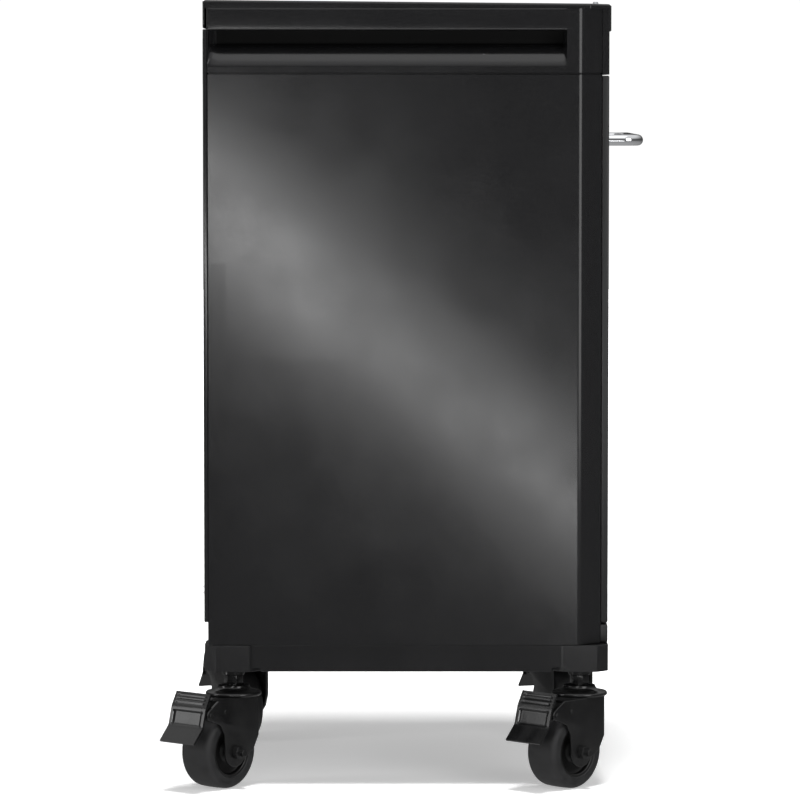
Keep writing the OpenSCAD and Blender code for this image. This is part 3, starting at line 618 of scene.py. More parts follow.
def moulded(name, dark, light, rough, grain):
    """Moulded plastic with a spark-eroded grain from its tool."""
    material = bpy.data.materials.new(name)
    tree, shader, where = steps(material)
    value = noise(tree, where, grain, 3)
    tree.links.new(shade(tree, spread(tree, noise(tree, where, 20, 4), 0, 1), dark, light),
                   shader.inputs["Base Color"])
    tree.links.new(spread(tree, value, rough - 0.05, rough + 0.06), shader.inputs["Roughness"])
    relief(tree, shader, (value, 0.15, 0.0002))
    return material


def brushed(name, colour, rough, along=(1, 1, 30)):
    """Worked steel: fine lines drawn out along one direction, under a thin film of oil."""
    material = bpy.data.materials.new(name)
    tree, shader, where = steps(material)
    lines = noise(tree, where, 700, 3, along)
    darker = tuple(c * 0.72 for c in colour)
    tree.links.new(shade(tree, spread(tree, noise(tree, where, 30, 5), 0, 1), darker, colour),
                   shader.inputs["Base Color"])
    shader.inputs["Metallic"].default_value = 1
    tree.links.new(spread(tree, lines, rough - 0.06, rough + 0.1), shader.inputs["Roughness"])
    relief(tree, shader, (lines, 0.08, 0.0001))
    return material


fit(skin("drawer_liner", 1.2 * MM, 3), moulded("liner_plastic", (0.62, 0.62, 0.60), (0.74, 0.74, 0.72), 0.4, 500),
    "drawer", "liner_white", "drawer_liner")

low, high = (Vector(v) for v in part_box("bin"))
bin_wall, bin_corner = 2.5 * MM, 22 * MM


def rounded_loop(low, high, inset, radius, z):
    """A rectangle with round corners, as points at height z."""
    a, b = low.xy + Vector((inset, inset)), high.xy - Vector((inset, inset))
    square = [Vector((a.x, a.y)), Vector((b.x, a.y)), Vector((b.x, b.y)), Vector((a.x, b.y))]
    return [(p.x, p.y, z) for i in range(4)
            for p in corner_arc(square[i - 1], square[i], square[(i + 1) % 4], radius, 8)]


def lofted(name, loops, close_first, close_last):
    """A skin through closed loops of points."""
    count = len(loops[0])
    points = [p for loop in loops for p in loop]
    faces = [(r * count + i, r * count + (i + 1) % count, (r + 1) * count + (i + 1) % count,
              (r + 1) * count + i) for r in range(len(loops) - 1) for i in range(count)]
    if close_first:
        faces.append(tuple(range(count))[::-1])
    if close_last:
        faces.append(tuple((len(loops) - 1) * count + i for i in range(count)))
    mesh = bpy.data.meshes.new(name)
    mesh.from_pydata(points, [], faces)
    return new_piece(name, mesh)


taper = 5 * MM
loops = []
for i in range(5):
    a = i / 4 * pi / 2
    loops.append(rounded_loop(low, high, taper + 8 * MM * (1 - sin(a)), bin_corner, low.z + 8 * MM * (1 - cos(a))))
loops.append(rounded_loop(low, high, 2.2 * MM, bin_corner, high.z - 14 * MM))
loops.append(rounded_loop(low, high, 0, bin_corner + 2 * MM, high.z - 12 * MM))
loops.append(rounded_loop(low, high, 0, bin_corner + 2 * MM, high.z - 1 * MM))
loops.append(rounded_loop(low, high, 1 * MM, bin_corner + 1 * MM, high.z))
loops.append(rounded_loop(low, high, 2.6 * MM, bin_corner, high.z - 0.4 * MM))
loops.append(rounded_loop(low, high, 4.2 * MM, bin_corner, high.z - 12 * MM))
loops.append(rounded_loop(low, high, taper + bin_wall, bin_corner, low.z + 12 * MM))
loops.append(rounded_loop(low, high, taper + 10 * MM, bin_corner, low.z + 3 * MM))
bin_skin = lofted("bin_skin", loops, True, True)
fit(bin_skin, moulded("bin_plastic", (0.24, 0.25, 0.26), (0.31, 0.32, 0.33), 0.5, 420),
    "drawer", "bin_grey", "bin")


def galvanised_sheet():
    """Zinc-coated sheet with its spangle."""
    material = bpy.data.materials.new("galvanised_sheet")
    tree, shader, where = steps(material)
    spangle = tree.nodes.new("ShaderNodeTexVoronoi")
    spangle.inputs["Scale"].default_value = 95
    tree.links.new(where, spangle.inputs["Vector"])
    crystal = tree.nodes.new("ShaderNodeSeparateColor")
    tree.links.new(spangle.outputs["Color"], crystal.inputs[0])
    value = spread(tree, crystal.outputs[0], 0, 1, (0, 1))
    tree.links.new(shade(tree, value, (0.42, 0.43, 0.45), (0.62, 0.64, 0.66)), shader.inputs["Base Color"])
    tree.links.new(spread(tree, crystal.outputs[1], 0.3, 0.46, (0, 1)), shader.inputs["Roughness"])
    shader.inputs["Metallic"].default_value = 1
    relief(tree, shader, (noise(tree, where, 260, 3), 0.12, 0.0002), (value, 0.08, 0.0001))
    return material


zinc_sheet = galvanised_sheet()
fit(skin("drawer_tray", 0.4 * MM), zinc_sheet, "drawer", "galvanised", "drawer_tray")
slide_steel = brushed("slide_steel", (0.66, 0.68, 0.70), 0.3, (30, 1, 30))
fit(skin("moving_rails", 0.6 * MM), slide_steel, "drawer", "galvanised", "moving_rails")
fit(skin("fixed_rails", 0.4 * MM), slide_steel, "cabinet", "galvanised", "fixed_rails")

# ---- Ram and crosshead
# A folded, galvanised press plate hangs from a box riser under a steel channel, the crosshead. Two bronze nuts
# are pressed into the crosshead and climb on the power screws.
for part in ("ram_plate", "ram_riser"):
    fit(skin(part, 0.6 * MM), zinc_sheet, "ram", "galvanised", part)
beam_steel = brushed("beam_steel", (0.42, 0.43, 0.45), 0.38, (1, 30, 30))
fit(skin("crosshead", 1.0 * MM), beam_steel, "ram", "machined_steel", "crosshead")
fit(skin("drive_nuts", 0.7 * MM), brushed("nut_bronze", (0.60, 0.40, 0.19), 0.3, (30, 30, 1)), "ram",
    "bronze", "drive_nuts")

# ---- Power screws
# Two screws with a rolled trapezoidal thread lift and lower the crosshead. Each has plain journals, which turn
# in flange bearings, and a sprocket under the deck.
screw_steel = brushed("screw_steel", (0.55, 0.56, 0.58), 0.25, (30, 30, 1))
deck_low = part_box("head_deck")[0][2]
for side_name, side in SIDES:
    low, high = (Vector(v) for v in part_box(f"{side_name}_screw"))
    centre = (low + high) / 2
    crest = (high.x - low.x) / 2
    root, journal, pitch = crest - 1.6 * MM, crest - 2 * MM, 10 * MM
    thread_low, thread_high = low.z + 12 * MM, deck_low - 18 * MM
    around, rows = 24, []
    turns = (thread_high - thread_low) / pitch
    screw = bmesh.new()
    profile = ((0.0, root), (0.22, root), (0.34, crest), (0.66, crest), (0.78, root))
    grid = []
    for k in range(around * int(turns)):
        a = 2 * pi * k / around
        base = thread_low + pitch * k / around
        grid.append([screw.verts.new((centre.x + r * cos(a), centre.y + r * sin(a), base + f * pitch))
                     for f, r in profile])
    for k in range(len(grid) - 1):
        for m in range(len(profile) - 1):
            screw.faces.new((grid[k][m], grid[k + 1][m], grid[k + 1][m + 1], grid[k][m + 1]))
        if k + around < len(grid) - 1:
            screw.faces.new((grid[k][-1], grid[k + 1][-1], grid[k + around + 1][0], grid[k + around][0]))
    mesh = bpy.data.meshes.new(f"{side_name}_thread")
    screw.to_mesh(mesh)
    screw.free()
    thread = new_piece(f"{side_name}_thread", mesh, 35)
    fit(thread, screw_steel, f"{side_name}_power_screw", "machined_steel")
    core = tube(f"{side_name}_screw_core", [Vector((centre.x, centre.y, z)) for z in
                (low.z, low.z + 1 * MM, high.z - 1 * MM, high.z)], journal, 32)
    roll(core, 0.6 * MM)
    fit(core, screw_steel, f"{side_name}_power_screw", "machined_steel", f"{side_name}_screw")
    fit(skin(f"{side_name}_sprocket", 0.4 * MM), screw_steel, f"{side_name}_power_screw", "machined_steel",
        f"{side_name}_sprocket")
for part in ("motor_shaft", "motor_sprocket"):
    fit(skin(part, 0.4 * MM), screw_steel, "motor_output", "machined_steel", part)
plated = brushed("bright_zinc_plate", (0.70, 0.71, 0.74), 0.22, (1, 1, 1))
for part in ("upper_bearings", "lower_bearings"):
    fit(skin(part, 0.8 * MM), plated, "cabinet", "zinc_plated", part)

# ---- Drive chain
# A roller chain of pressed steel links runs round the three sprockets under the deck. Each link is a pair of
# waisted side plates on a roller.
low, high = (Vector(v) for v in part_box("drive_chain"))
chain_z = (low.z + high.z) / 2
screw_box = [(Vector(v[0]) + Vector(v[1])) / 2 for v in (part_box("left_sprocket"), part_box("right_sprocket"),
                                                         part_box("motor_sprocket"))]
screw_reach = (high.x - screw_box[1].x) - 2.6 * MM
motor_reach = (high.y - screw_box[2].y) - 2.6 * MM
wheels = [(screw_box[0], screw_reach), (screw_box[1], screw_reach), (screw_box[2], motor_reach)]


def chain_route(wheels):
    """Evenly drawn points round the sprockets, with the tangents between them."""
    def leaving(a, b):
        d = b[0] - a[0]
        return atan2(d.y, d.x) - acos((a[1] - b[1]) / hypot(d.x, d.y))
    route = []
    for i, wheel in enumerate(wheels):
        start = leaving(wheels[i - 1], wheel)
        end = leaving(wheel, wheels[(i + 1) % len(wheels)])
        end += 2 * pi if end < start else 0
        route += [Vector((wheel[0].x + wheel[1] * cos(a), wheel[0].y + wheel[1] * sin(a), chain_z))
                  for a in (start + (end - start) * k / 16 for k in range(17))]
    return route


route = chain_route(wheels)
curve = bpy.data.curves.new("chain_line", "CURVE")
curve.dimensions = "3D"
line = curve.splines.new("POLY")
line.points.add(len(route) - 1)
for point, p in zip(line.points, route):
    point.co = (*p, 1)
line.use_cyclic_u = True
chain = bpy.data.objects.new("drive_chain_links", curve)
scene.collection.objects.link(chain)


def node_tree(name, *sizes):
    """An empty Geometry Nodes tree with named inputs of (name, kind, default), and its ends."""
    tree = bpy.data.node_groups.new(name, "GeometryNodeTree")
    tree.interface.new_socket(name="Geometry", in_out="INPUT", socket_type="NodeSocketGeometry")
    for label, kind, value in sizes:
        socket = tree.interface.new_socket(name=label, in_out="INPUT", socket_type=kind)
        socket.default_value = value
    tree.interface.new_socket(name="Geometry", in_out="OUTPUT", socket_type="NodeSocketGeometry")
    return tree, tree.nodes.new("NodeGroupInput"), tree.nodes.new("NodeGroupOutput")


def add(tree, kind, links=(), **values):
    """A node with its sockets set by name, and its inputs linked by name."""
    node = tree.nodes.new(kind)
    for key, value in values.items():
        label = key.replace("_", " ")
        if label in node.inputs:
            node.inputs[label].default_value = value
        else:
            setattr(node, key, value)
    for label, source in links:
        tree.links.new(source, node.inputs[label])
    return node


def grow(piece, tree, material, **sizes):
    """Runs a tree on a piece with its sizes set by the sockets' identifiers, and keeps the plain mesh."""
    modifier = piece.modifiers.new(tree.name, "NODES")
    modifier.node_group = tree
    for item in tree.interface.items_tree:
        key = item.name.replace(" ", "_")
        if item.in_out == "INPUT" and key in sizes:
            modifier[item.identifier] = sizes[key]
    bpy.context.view_layer.update()
    mesh = bpy.data.meshes.new_from_object(piece.evaluated_get(bpy.context.evaluated_depsgraph_get()))
    mesh.name = piece.name
    plain = bpy.data.objects.new(piece.name + "_made", mesh)
    scene.collection.objects.link(plain)
    bpy.data.objects.remove(piece)
    mesh.materials.clear()
    mesh.materials.append(material)
    return plain


tree, given, result = node_tree("chain_links", ("Pitch", "NodeSocketFloat", 8 * MM),
                                ("Roller", "NodeSocketFloat", 2.4 * MM), ("Width", "NodeSocketFloat", 5 * MM),
                                ("Steel", "NodeSocketMaterial", None))
spaced = add(tree, "GeometryNodeResampleCurve", [("Curve", given.outputs["Geometry"]),
                                                 ("Length", given.outputs["Pitch"])], mode="LENGTH")
tangent = add(tree, "GeometryNodeInputTangent")
turned = add(tree, "FunctionNodeAlignRotationToVector", [("Vector", tangent.outputs[0])], axis="X")
roller = add(tree, "GeometryNodeMeshCylinder", [("Radius", given.outputs["Roller"]),
                                                ("Depth", given.outputs["Width"])], Vertices=10)
plate_size = add(tree, "ShaderNodeCombineXYZ", [("X", given.outputs["Pitch"]), ("Y", given.outputs["Roller"])],
                 Z=0.9 * MM)
plate = add(tree, "GeometryNodeMeshCube", [("Size", plate_size.outputs[0])])
upper = add(tree, "GeometryNodeTransform", [("Geometry", plate.outputs[0])], Translation=(0, 0, 2.1 * MM))
lower = add(tree, "GeometryNodeTransform", [("Geometry", plate.outputs[0])], Translation=(0, 0, -2.1 * MM))
link = add(tree, "GeometryNodeJoinGeometry")
for source in (roller.outputs["Mesh"], upper.outputs[0], lower.outputs[0]):
    tree.links.new(source, link.inputs[0])
placed = add(tree, "GeometryNodeInstanceOnPoints", [("Points", spaced.outputs[0]), ("Instance", link.outputs[0]),
                                                    ("Rotation", turned.outputs[0])])
real = add(tree, "GeometryNodeRealizeInstances", [("Geometry", placed.outputs[0])])
painted = add(tree, "GeometryNodeSetMaterial", [("Geometry", real.outputs[0]),
                                                ("Material", given.outputs["Steel"])])
tree.links.new(painted.outputs[0], result.inputs[0])
chain_steel = brushed("chain_steel", (0.30, 0.29, 0.28), 0.35, (1, 1, 1))
links = grow(chain, tree, chain_steel, Pitch=8 * MM, Roller=2.2 * MM, Width=5 * MM, Steel=chain_steel)
fit(links, chain_steel, "cabinet", "machined_steel", "drive_chain")

# ---- Motor, board and switches
# The gear motor stands on the deck under the cover in an enamelled casing. The control board stands behind the
# fascia, and small snap-action switches stop the ram and guard the drawer.
enamel = powder_coat("motor_enamel", (0.03, 0.03, 0.033), (0.05, 0.05, 0.055), 0.25, 300)
fit(skin("motor", 1.5 * MM, 3), enamel, "cabinet", "motor_casing", "motor")
fit(skin("control_board", 0.3 * MM), moulded("solder_mask", (0.012, 0.09, 0.035), (0.02, 0.13, 0.05), 0.3, 900),
    "cabinet", "circuit_board", "control_board")
inlet_plastic = moulded("black_nylon", (0.018, 0.018, 0.018), (0.028, 0.028, 0.028), 0.45, 600)
for part in ("limit_switches", "power_inlet"):
    fit(skin(part, 0.6 * MM), inlet_plastic, "cabinet", "black_plastic", part)

# ---- Buttons and key lock
# Two moulded push buttons and a plated lock plug sit flush in the fascia, so that nothing catches on them.
for part, colours in (("start_button", ((0.01, 0.17, 0.04), (0.02, 0.24, 0.06))),
                      ("stop_button", ((0.38, 0.01, 0.01), (0.5, 0.02, 0.02)))):
    finish = {"start_button": "start_green", "stop_button": "stop_red"}[part]
    fit(skin(part, 1.2 * MM, 3), moulded(part + "_plastic", *colours, 0.22, 500), part.split("_")[0], finish, part)
fit(skin("key_plug", 0.4 * MM), chrome("satin_lock_plate", 0.2), "key", "lock_chrome", "key_plug")

# ---- Screws
# Zinc-plated pan-head screws with a cross recess hold the cover and the rear panel, and two more hold the handle
# from behind the drawer's liner. Each set is one head, placed on every screw of its CAD node.


def solids(node):
    """The box of each separate solid in a CAD node."""
    shell = bmesh.new()
    shell.from_mesh(frame["nodes"][node].data)
    bmesh.ops.remove_doubles(shell, verts=shell.verts, dist=1e-6)
    left, boxes = set(shell.verts), []
    while left:
        found, edge_of = set(), [left.pop()]
        while edge_of:
            v = edge_of.pop()
            found.add(v)
            for e in v.link_edges:
                other = e.other_vert(v)
                if other in left:
                    left.discard(other)
                    edge_of.append(other)
        low = Vector(min(v.co[i] for v in found) for i in range(3))
        high = Vector(max(v.co[i] for v in found) for i in range(3))
        boxes.append((low, high))
    shell.free()
    return boxes


tree, given, result = node_tree("screw_heads", ("Radius", "NodeSocketFloat", 3 * MM),
                                ("Height", "NodeSocketFloat", 2 * MM), ("Turn", "NodeSocketVector", (0, 0, 0)),
                                ("Steel", "NodeSocketMaterial", None))
crown = add(tree, "ShaderNodeMath", operation="MULTIPLY")
tree.links.new(given.outputs["Radius"], crown.inputs[0])
crown.inputs[1].default_value = 0.72
head = add(tree, "GeometryNodeMeshCone", [("Radius Top", crown.outputs[0]),
                                          ("Radius Bottom", given.outputs["Radius"]),
                                          ("Depth", given.outputs["Height"])], Vertices=32)
deep = add(tree, "ShaderNodeCombineXYZ", [("Z", given.outputs["Height"])])
slots = add(tree, "GeometryNodeJoinGeometry")
for turn in (0, pi / 2):
    size = add(tree, "ShaderNodeCombineXYZ", [("X", given.outputs["Radius"]), ("Z", given.outputs["Height"])],
               Y=0.9 * MM)
    slot = add(tree, "GeometryNodeMeshCube", [("Size", size.outputs[0])])
    laid = add(tree, "GeometryNodeTransform", [("Geometry", slot.outputs[0]), ("Translation", deep.outputs[0])],
               Rotation=(0, 0, turn))
    tree.links.new(laid.outputs[0], slots.inputs[0])
cut = add(tree, "GeometryNodeMeshBoolean", [("Mesh 1", head.outputs["Mesh"]), ("Mesh 2", slots.outputs[0])])
placed = add(tree, "GeometryNodeInstanceOnPoints", [("Points", given.outputs["Geometry"]),
                                                    ("Instance", cut.outputs["Mesh"])])
tree.links.new(given.outputs["Turn"], placed.inputs["Rotation"])
real = add(tree, "GeometryNodeRealizeInstances", [("Geometry", placed.outputs[0])])
painted = add(tree, "GeometryNodeSetMaterial", [("Geometry", real.outputs[0]),
                                                ("Material", given.outputs["Steel"])])
tree.links.new(painted.outputs[0], result.inputs[0])
for node, body, radius, height, turn, axis in (
        ("cover_screws", "cabinet", 3.2 * MM, 2.4 * MM, (radians(0.55), 0, 0), 2),
        ("rear_screws", "cabinet", 2.6 * MM, 1.3 * MM, (radians(-90), 0, 0), 1),
        ("handle_screws", "drawer", 4 * MM, 2.5 * MM, (radians(-90), 0, 0), 1)):
    feet = bpy.data.meshes.new(node + "_heads")
    seats = []
    for low, high in solids(node):
        seat = (low + high) / 2
        seat[axis] = high[axis] - height
        seats.append(seat)
    feet.from_pydata(seats, [], [])
    heads = bpy.data.objects.new(node + "_heads", feet)
    scene.collection.objects.link(heads)
    heads = grow(heads, tree, plated, Radius=radius, Height=height, Turn=turn, Steel=plated)
    fit(heads, plated, body, "zinc_plated", node)

# ---- Caster stems
# Each caster hangs on a blackened stem: a hex nut under a spacer bush, with the stem's riveted end below.


def lathe(name, profile, sides=64, axis="Z", centre=(0, 0, 0)):
    """A closed profile of (radius, height) turned about the axis through centre."""
    mesh = bpy.data.meshes.new(name)
    turned = bmesh.new()
    count = len(profile)
    rows = [[turned.verts.new((r * cos(a), r * sin(a), h)) for r, h in profile]
            for a in (2 * pi * k / sides for k in range(sides))]
    for k in range(sides):
        for m in range(count):
            turned.faces.new((rows[k][m], rows[(k + 1) % sides][m], rows[(k + 1) % sides][(m + 1) % count],
                              rows[k][(m + 1) % count]))
    bmesh.ops.recalc_face_normals(turned, faces=turned.faces)
    if axis == "Y":
        bmesh.ops.rotate(turned, verts=turned.verts, matrix=Matrix.Rotation(radians(-90), 3, "X"))
    bmesh.ops.translate(turned, verts=turned.verts, vec=centre)
    turned.to_mesh(mesh)
    turned.free()
    return soften(mesh, 32)


def prism(name, outline, low, high, axis="Y", edge=0.6 * MM, segments=2, bore=0):
    """A flat outline of two coordinates drawn out from low to high, with its edges rolled over."""
    mesh = bpy.data.meshes.new(name)
    solid = bmesh.new()

    def at(p, level):
        return (p[0], level, p[1]) if axis == "Y" else (p[0], p[1], level)

    ends = [[solid.verts.new(at(p, level)) for p in outline] for level in (low, high)]
    solid.faces.new(ends[0])
    solid.faces.new(ends[1][::-1])
    for i in range(len(outline)):
        j = (i + 1) % len(outline)
        solid.faces.new((ends[0][j], ends[0][i], ends[1][i], ends[1][j]))
    bmesh.ops.recalc_face_normals(solid, faces=solid.faces)
    if edge:
        sharp = [e for e in solid.edges if e.calc_face_angle(0) > radians(30)]
        bmesh.ops.bevel(solid, geom=sharp, offset=edge, segments=segments, profile=0.5, affect="EDGES",
                        clamp_overlap=True)
    solid.to_mesh(mesh)
    solid.free()
    return soften(mesh, 32)


def arc_points(centre, radius, start, end, pieces=10):
    """Points on an arc between two angles in degrees."""
    return [(centre[0] + radius * cos(radians(start + (end - start) * i / pieces)),
             centre[1] + radius * sin(radians(start + (end - start) * i / pieces))) for i in range(pieces + 1)]


def hexagon(centre, across):
    """A hexagon of that width across its flats."""
    return arc_points(centre, across / 2 / cos(radians(30)), 0, 300, 5)


def joined(name, meshes, place):
    """One object from several meshes, moved to place."""
    whole = bmesh.new()
    for part in meshes:
        whole.from_mesh(part)
    mesh = bpy.data.meshes.new(name)
    whole.to_mesh(mesh)
    whole.free()
    mesh.transform(place)
    return new_piece(name, mesh, 32)


joints = {joint["name"]: joint for joint in frame["record"]["behaviour"]["joints"]}
CASTERS = ("fl", "fr", "rl", "rr")
places = {}
for corner in CASTERS:
    local_y = joints[f"{corner}_pedal_press"]["axis"]
    stem = joints[f"{corner}_swivel_turn"]["pos_m"]
    heading = Matrix.Rotation(atan2(-local_y[0], local_y[1]), 4, "Z")
    places[corner] = Matrix.Translation((stem[0], stem[1], 0)) @ heading
tyre_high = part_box("caster_fl_tyre")[1]
axle_z = tyre_high[2] / 2
plate_z = axle_z + 54.5 * MM
plate_top = plate_z + 3 * MM
raceway_top = plate_top + 11 * MM
nut_low, nut_high = raceway_top + 1 * MM, raceway_top + 11 * MM
base_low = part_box("base_frame")[0][2]
nut = prism("stem_nut", hexagon((0, 0), 18.5 * MM), nut_low, nut_high, "Z", 0.9 * MM, 3)
bush = lathe("stem_bush", [(6 * MM, nut_high), (11.4 * MM, nut_high), (12 * MM, nut_high + 0.6 * MM),
                           (12 * MM, base_low - 0.5 * MM), (11.5 * MM, base_low), (6 * MM, base_low)])
stud = lathe("stem_stud", [(0.1 * MM, plate_z - 4.6 * MM), (4 * MM, plate_z - 5.2 * MM),
                           (8 * MM, plate_z - 4.4 * MM), (9.3 * MM, plate_z - 2.6 * MM), (9.3 * MM, plate_z - 0.4 * MM),
                           (5.9 * MM, plate_z - 0.4 * MM), (5.9 * MM, base_low + 24 * MM), (0.1 * MM, base_low + 24 * MM)])

# ---- Caster forks
# A pressed steel fork: two legs folded down from the plate that carries the ball raceway's domed cup. The axle
# bolt, its lock nut and the two rivet pins are held in it. All of it is dipped in a glossy black paint.
fork_half, fork_sheet = 25.5 * MM, 3 * MM
trail = 24.5 * MM
raceway = 30 * MM
fork_rear = -12.5 * MM
pivot = (trail + 39 * MM, axle_z + 43 * MM)
brake_pin = (trail + 16.5 * MM, axle_z + 45 * MM)
axle = (trail, axle_z)


def dipped_paint(name, level, gloss):
    """A thin glossy dip coat: faint orange peel, dust that settled in it, and scuffs."""
    material = bpy.data.materials.new(name)
    tree, shader, where = steps(material)
    dust = noise(tree, where, 45, 6)
    tree.links.new(shade(tree, spread(tree, dust, 0, 1, (0.35, 0.75)), (level, level, level * 1.05),
                         (level * 1.8, level * 1.8, level * 1.8)), shader.inputs["Base Color"])
    tree.links.new(spread(tree, dust, gloss, gloss + 0.12), shader.inputs["Roughness"])
    relief(tree, shader, (noise(tree, where, 240, 2), 0.1, 0.0002))
    return material


leg = [(fork_rear + 8 * MM, axle_z + 1 * MM), (fork_rear, axle_z + 15 * MM), (fork_rear, plate_top),
       (pivot[0] - 12 * MM, plate_top)]
leg += arc_points(pivot, 6 * MM, 70, -90, 10)
leg += [(trail + 23 * MM, axle_z + 31 * MM), (trail + 16.5 * MM, axle_z + 20 * MM)]
leg += arc_points(axle, 16 * MM, 8, -140, 24)
fork_meshes = []
for inner, outer in ((-fork_half + fork_sheet, -fork_half), (fork_half - fork_sheet, fork_half)):
    fork_meshes.append(prism("fork_leg", leg, min(inner, outer), max(inner, outer), "Y", 0.9 * MM, 3))
plate = [(fork_rear, -fork_half + 1 * MM), (pivot[0] - 14 * MM, -fork_half + 1 * MM),
         (pivot[0] - 14 * MM, fork_half - 1 * MM), (fork_rear, fork_half - 1 * MM)]
fork_meshes.append(prism("fork_plate", plate, plate_z, plate_top, "Z", 0.6 * MM))
cup = [(6.2 * MM, plate_top - 0.5 * MM), (raceway - 2 * MM, plate_top - 0.5 * MM)]
cup += arc_points((raceway - 2.4 * MM, plate_top + 2 * MM), 2.4 * MM, -80, 90, 8)
cup += [(raceway - 4 * MM, plate_top + 4.5 * MM)]
cup += [(raceway - 5 * MM - 8 * MM * sin(a), plate_top + 10.6 * MM - 5.6 * MM * cos(a))
        for a in (pi / 2 * i / 8 for i in range(9))]
cup += [(14 * MM, plate_top + 11 * MM), (6.2 * MM, plate_top + 11 * MM)]
fork_meshes.append(lathe("raceway_cup", cup, 72))
bolt_head = prism("bolt_head", hexagon(axle, 13 * MM), -fork_half - 5 * MM, -fork_half, "Y", 0.7 * MM)
lock_nut = prism("lock_nut", hexagon(axle, 13 * MM), fork_half, fork_half + 7 * MM, "Y", 0.7 * MM)
fork_meshes += [bolt_head, lock_nut]


def rod_profile(r, low, high):
    """The profile of a rod of radius r from low to high, with its ends broken."""
    return [(0.05 * MM, low), (r - 0.5 * MM, low), (r, low + 0.5 * MM),
            (r, high - 0.5 * MM), (r - 0.5 * MM, high), (0.05 * MM, high)]


fork_meshes.append(lathe("axle_bolt", rod_profile(4 * MM, -fork_half, fork_half + 13 * MM), 32, "Y",
                         (trail, 0, axle_z)))
for pin, radius in ((pivot, 3 * MM), (brake_pin, 2.5 * MM)):
    fork_meshes.append(lathe("fork_pin", rod_profile(radius, -fork_half - 1.5 * MM, fork_half + 1.5 * MM), 28,
                             "Y", (pin[0], 0, pin[1])))
fork_paint = dipped_paint("dipped_black", 0.006, 0.12)
for corner in CASTERS:
    fit(joined(f"{corner}_fork", fork_meshes, places[corner]), fork_paint, f"{corner}_swivel", "fork_black",
        f"caster_{corner}_fork")

for i, corner in enumerate(CASTERS):
    stems = joined(f"{corner}_stem", (nut, bush, stud), places[corner])
    fit(stems, fork_paint, "cabinet", "fork_black", *(["caster_stems"] if i == 0 else []))

# ---- Caster wheels
# A nylon hub with a dished web on each side, and a moulded grey-black rubber tyre with round shoulders.
wheel_r, tyre_half, hub_r = axle_z, 20 * MM, 27 * MM
hub_side = [(9 * MM, 22 * MM), (9 * MM, 15 * MM), (12 * MM, 13 * MM), (21 * MM, 13 * MM), (23.6 * MM, 14.4 * MM),
            (24.4 * MM, 18.4 * MM), (25.2 * MM, 19 * MM), (hub_r, 18.8 * MM)]
hub_profile = [(4.1 * MM, -22 * MM)] + [(r, -h) for r, h in hub_side] + hub_side[::-1] + [(4.1 * MM, 22 * MM)]
hub_mesh = lathe("hub", hub_profile, 72, "Y", (trail, 0, axle_z))
shoulder = 7 * MM
tread = [(hub_r, -tyre_half + 0.8 * MM), (hub_r + 1.2 * MM, -tyre_half)]
tread += arc_points((wheel_r - shoulder - 0.3 * MM, -tyre_half + shoulder), shoulder, -90, -8, 10)
tread += [(wheel_r, -6 * MM), (wheel_r, 6 * MM)]
tread += arc_points((wheel_r - shoulder - 0.3 * MM, tyre_half - shoulder), shoulder, 8, 90, 10)
tread += [(hub_r + 1.2 * MM, tyre_half), (hub_r, tyre_half - 0.8 * MM)]
tyre_mesh = lathe("tyre", tread, 96, "Y", (trail, 0, axle_z))


def rubber():
    """Moulded rubber with a matte skin, dust in its pores and scuffs on the tread."""
    material = bpy.data.materials.new("tyre_rubber")
    tree, shader, where = steps(material)
    scuffs = noise(tree, where, 90, 6)
    tree.links.new(shade(tree, spread(tree, scuffs, 0, 1, (0.3, 0.8)),
                         (0.009, 0.009, 0.0095), (0.022, 0.022, 0.023)),
                   shader.inputs["Base Color"])
    tree.links.new(spread(tree, scuffs, 0.5, 0.68), shader.inputs["Roughness"])
    relief(tree, shader, (noise(tree, where, 1200, 2), 0.2, 0.0002))
    return material


tyre_material = rubber()
hub_plastic = moulded("hub_nylon", (0.003, 0.003, 0.003), (0.006, 0.006, 0.006), 0.4, 500)
for corner in CASTERS:
    fit(joined(f"{corner}_hub", (hub_mesh,), places[corner]), hub_plastic, f"{corner}_wheel", "hub_black",
        f"caster_{corner}_hub")
    fit(joined(f"{corner}_tyre", (tyre_mesh,), places[corner]), tyre_material, f"{corner}_wheel", "tyre_rubber",
        f"caster_{corner}_tyre")

# ---- Brake pedals
# One steel pressing: grip grooves across the top, a panel pushed in below them, a flared lip, and two ears that
# hang it on the fork's pivot pin. It is dipped glossy black.
pedal_half, pedal_sheet = 24.5 * MM, 2.5 * MM
bend = [Vector((pivot[0] + x * MM, pivot[1] + z * MM)) for x, z in ((0, 23), (8, 8), (13, -12), (27, -27.5))]
line = [bend[0]] + corner_arc(bend[0], bend[1], bend[2], 8 * MM) + corner_arc(bend[1], bend[2], bend[3], 7 * MM) \
    + [bend[3]]
lengths = [0]
for before, after in zip(line, line[1:]):
    lengths.append(lengths[-1] + (after - before).length)
count_s, count_y = 64, 40


def along(s):
    """The point and the outward direction at a length along the pedal's bend line."""
    k = max(i for i in range(len(line) - 1) if lengths[i] <= s + 1e-9)
    share = (s - lengths[k]) / (lengths[k + 1] - lengths[k])
    step = (line[k + 1] - line[k]).normalized()
    return line[k].lerp(line[k + 1], share), Vector((-step.y, step.x))


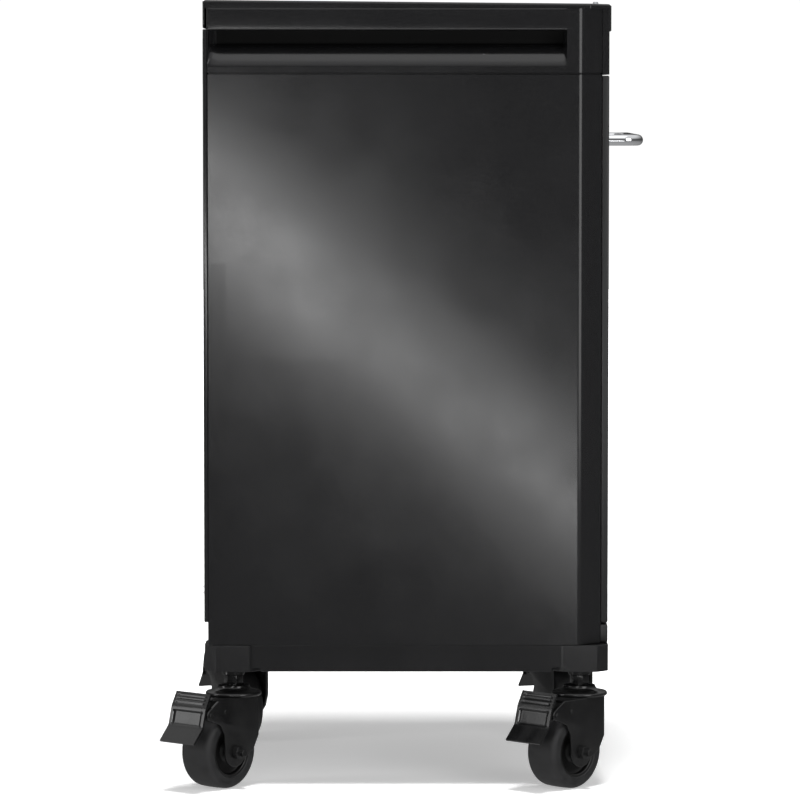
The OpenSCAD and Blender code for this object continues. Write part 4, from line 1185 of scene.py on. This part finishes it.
def press_depth(s, y):
    """How deep the pedal's skin is pressed in at a place."""
    inside = max(0, min(1, (pedal_half - 4 * MM - abs(y)) / (1.5 * MM)))
    grooves = 0
    for centre in (4.2 * MM, 8.4 * MM, 12.6 * MM):
        grooves = max(grooves, max(0, 1 - abs(s - centre) / (1.3 * MM)))
    panel_start, panel_end = lengths[1] + 4 * MM, lengths[-1] - 21 * MM
    panel = max(0, min(1, (s - panel_start) / (2 * MM))) * max(0, min(1, (panel_end - s) / (2 * MM)))
    return (1.1 * MM * grooves + 1.5 * MM * panel) * inside


points, faces = [], []
for i in range(count_s + 1):
    s = lengths[-1] * i / count_s
    p, out = along(s)
    if out.x < 0:
        out = -out
    for j in range(count_y + 1):
        y = -pedal_half + 2 * pedal_half * j / count_y
        q = p - out * press_depth(s, y)
        points.append((q.x, y, q.y))
for i in range(count_s):
    for j in range(count_y):
        a = i * (count_y + 1) + j
        faces.append((a, a + 1, a + count_y + 2, a + count_y + 1))
tread_mesh = bpy.data.meshes.new("pedal_tread")
tread_mesh.from_pydata(points, [], faces)
treadle = bmesh.new()
treadle.from_mesh(tread_mesh)
bmesh.ops.recalc_face_normals(treadle, faces=treadle.faces)
middle = treadle.faces[:][len(faces) // 2]
if middle.normal.x < 0:
    bmesh.ops.reverse_faces(treadle, faces=treadle.faces)
bmesh.ops.solidify(treadle, geom=treadle.faces[:], thickness=pedal_sheet * 0.9)
treadle.to_mesh(tread_mesh)
treadle.free()
ear_out = fork_half - fork_sheet - 1 * MM
ear = arc_points(pivot, 6 * MM, 150, 290, 10)
ear += [(pivot[0] + x * MM, pivot[1] + z * MM) for x, z in ((11, -11), (6.5, 7.5), (-1, 20.5))]
pedal_meshes = [tread_mesh]
for low_y in (-ear_out, ear_out - 2.5 * MM):
    pedal_meshes.append(prism("pedal_ear", ear, low_y, low_y + 2.5 * MM, "Y", 0.5 * MM))
pedal_paint = dipped_paint("pedal_black", 0.005, 0.08)
for corner in CASTERS:
    fit(joined(f"{corner}_pedal_plate", pedal_meshes, places[corner]), pedal_paint,
        f"{corner}_pedal", "pedal_black",
        f"caster_{corner}_pedal")
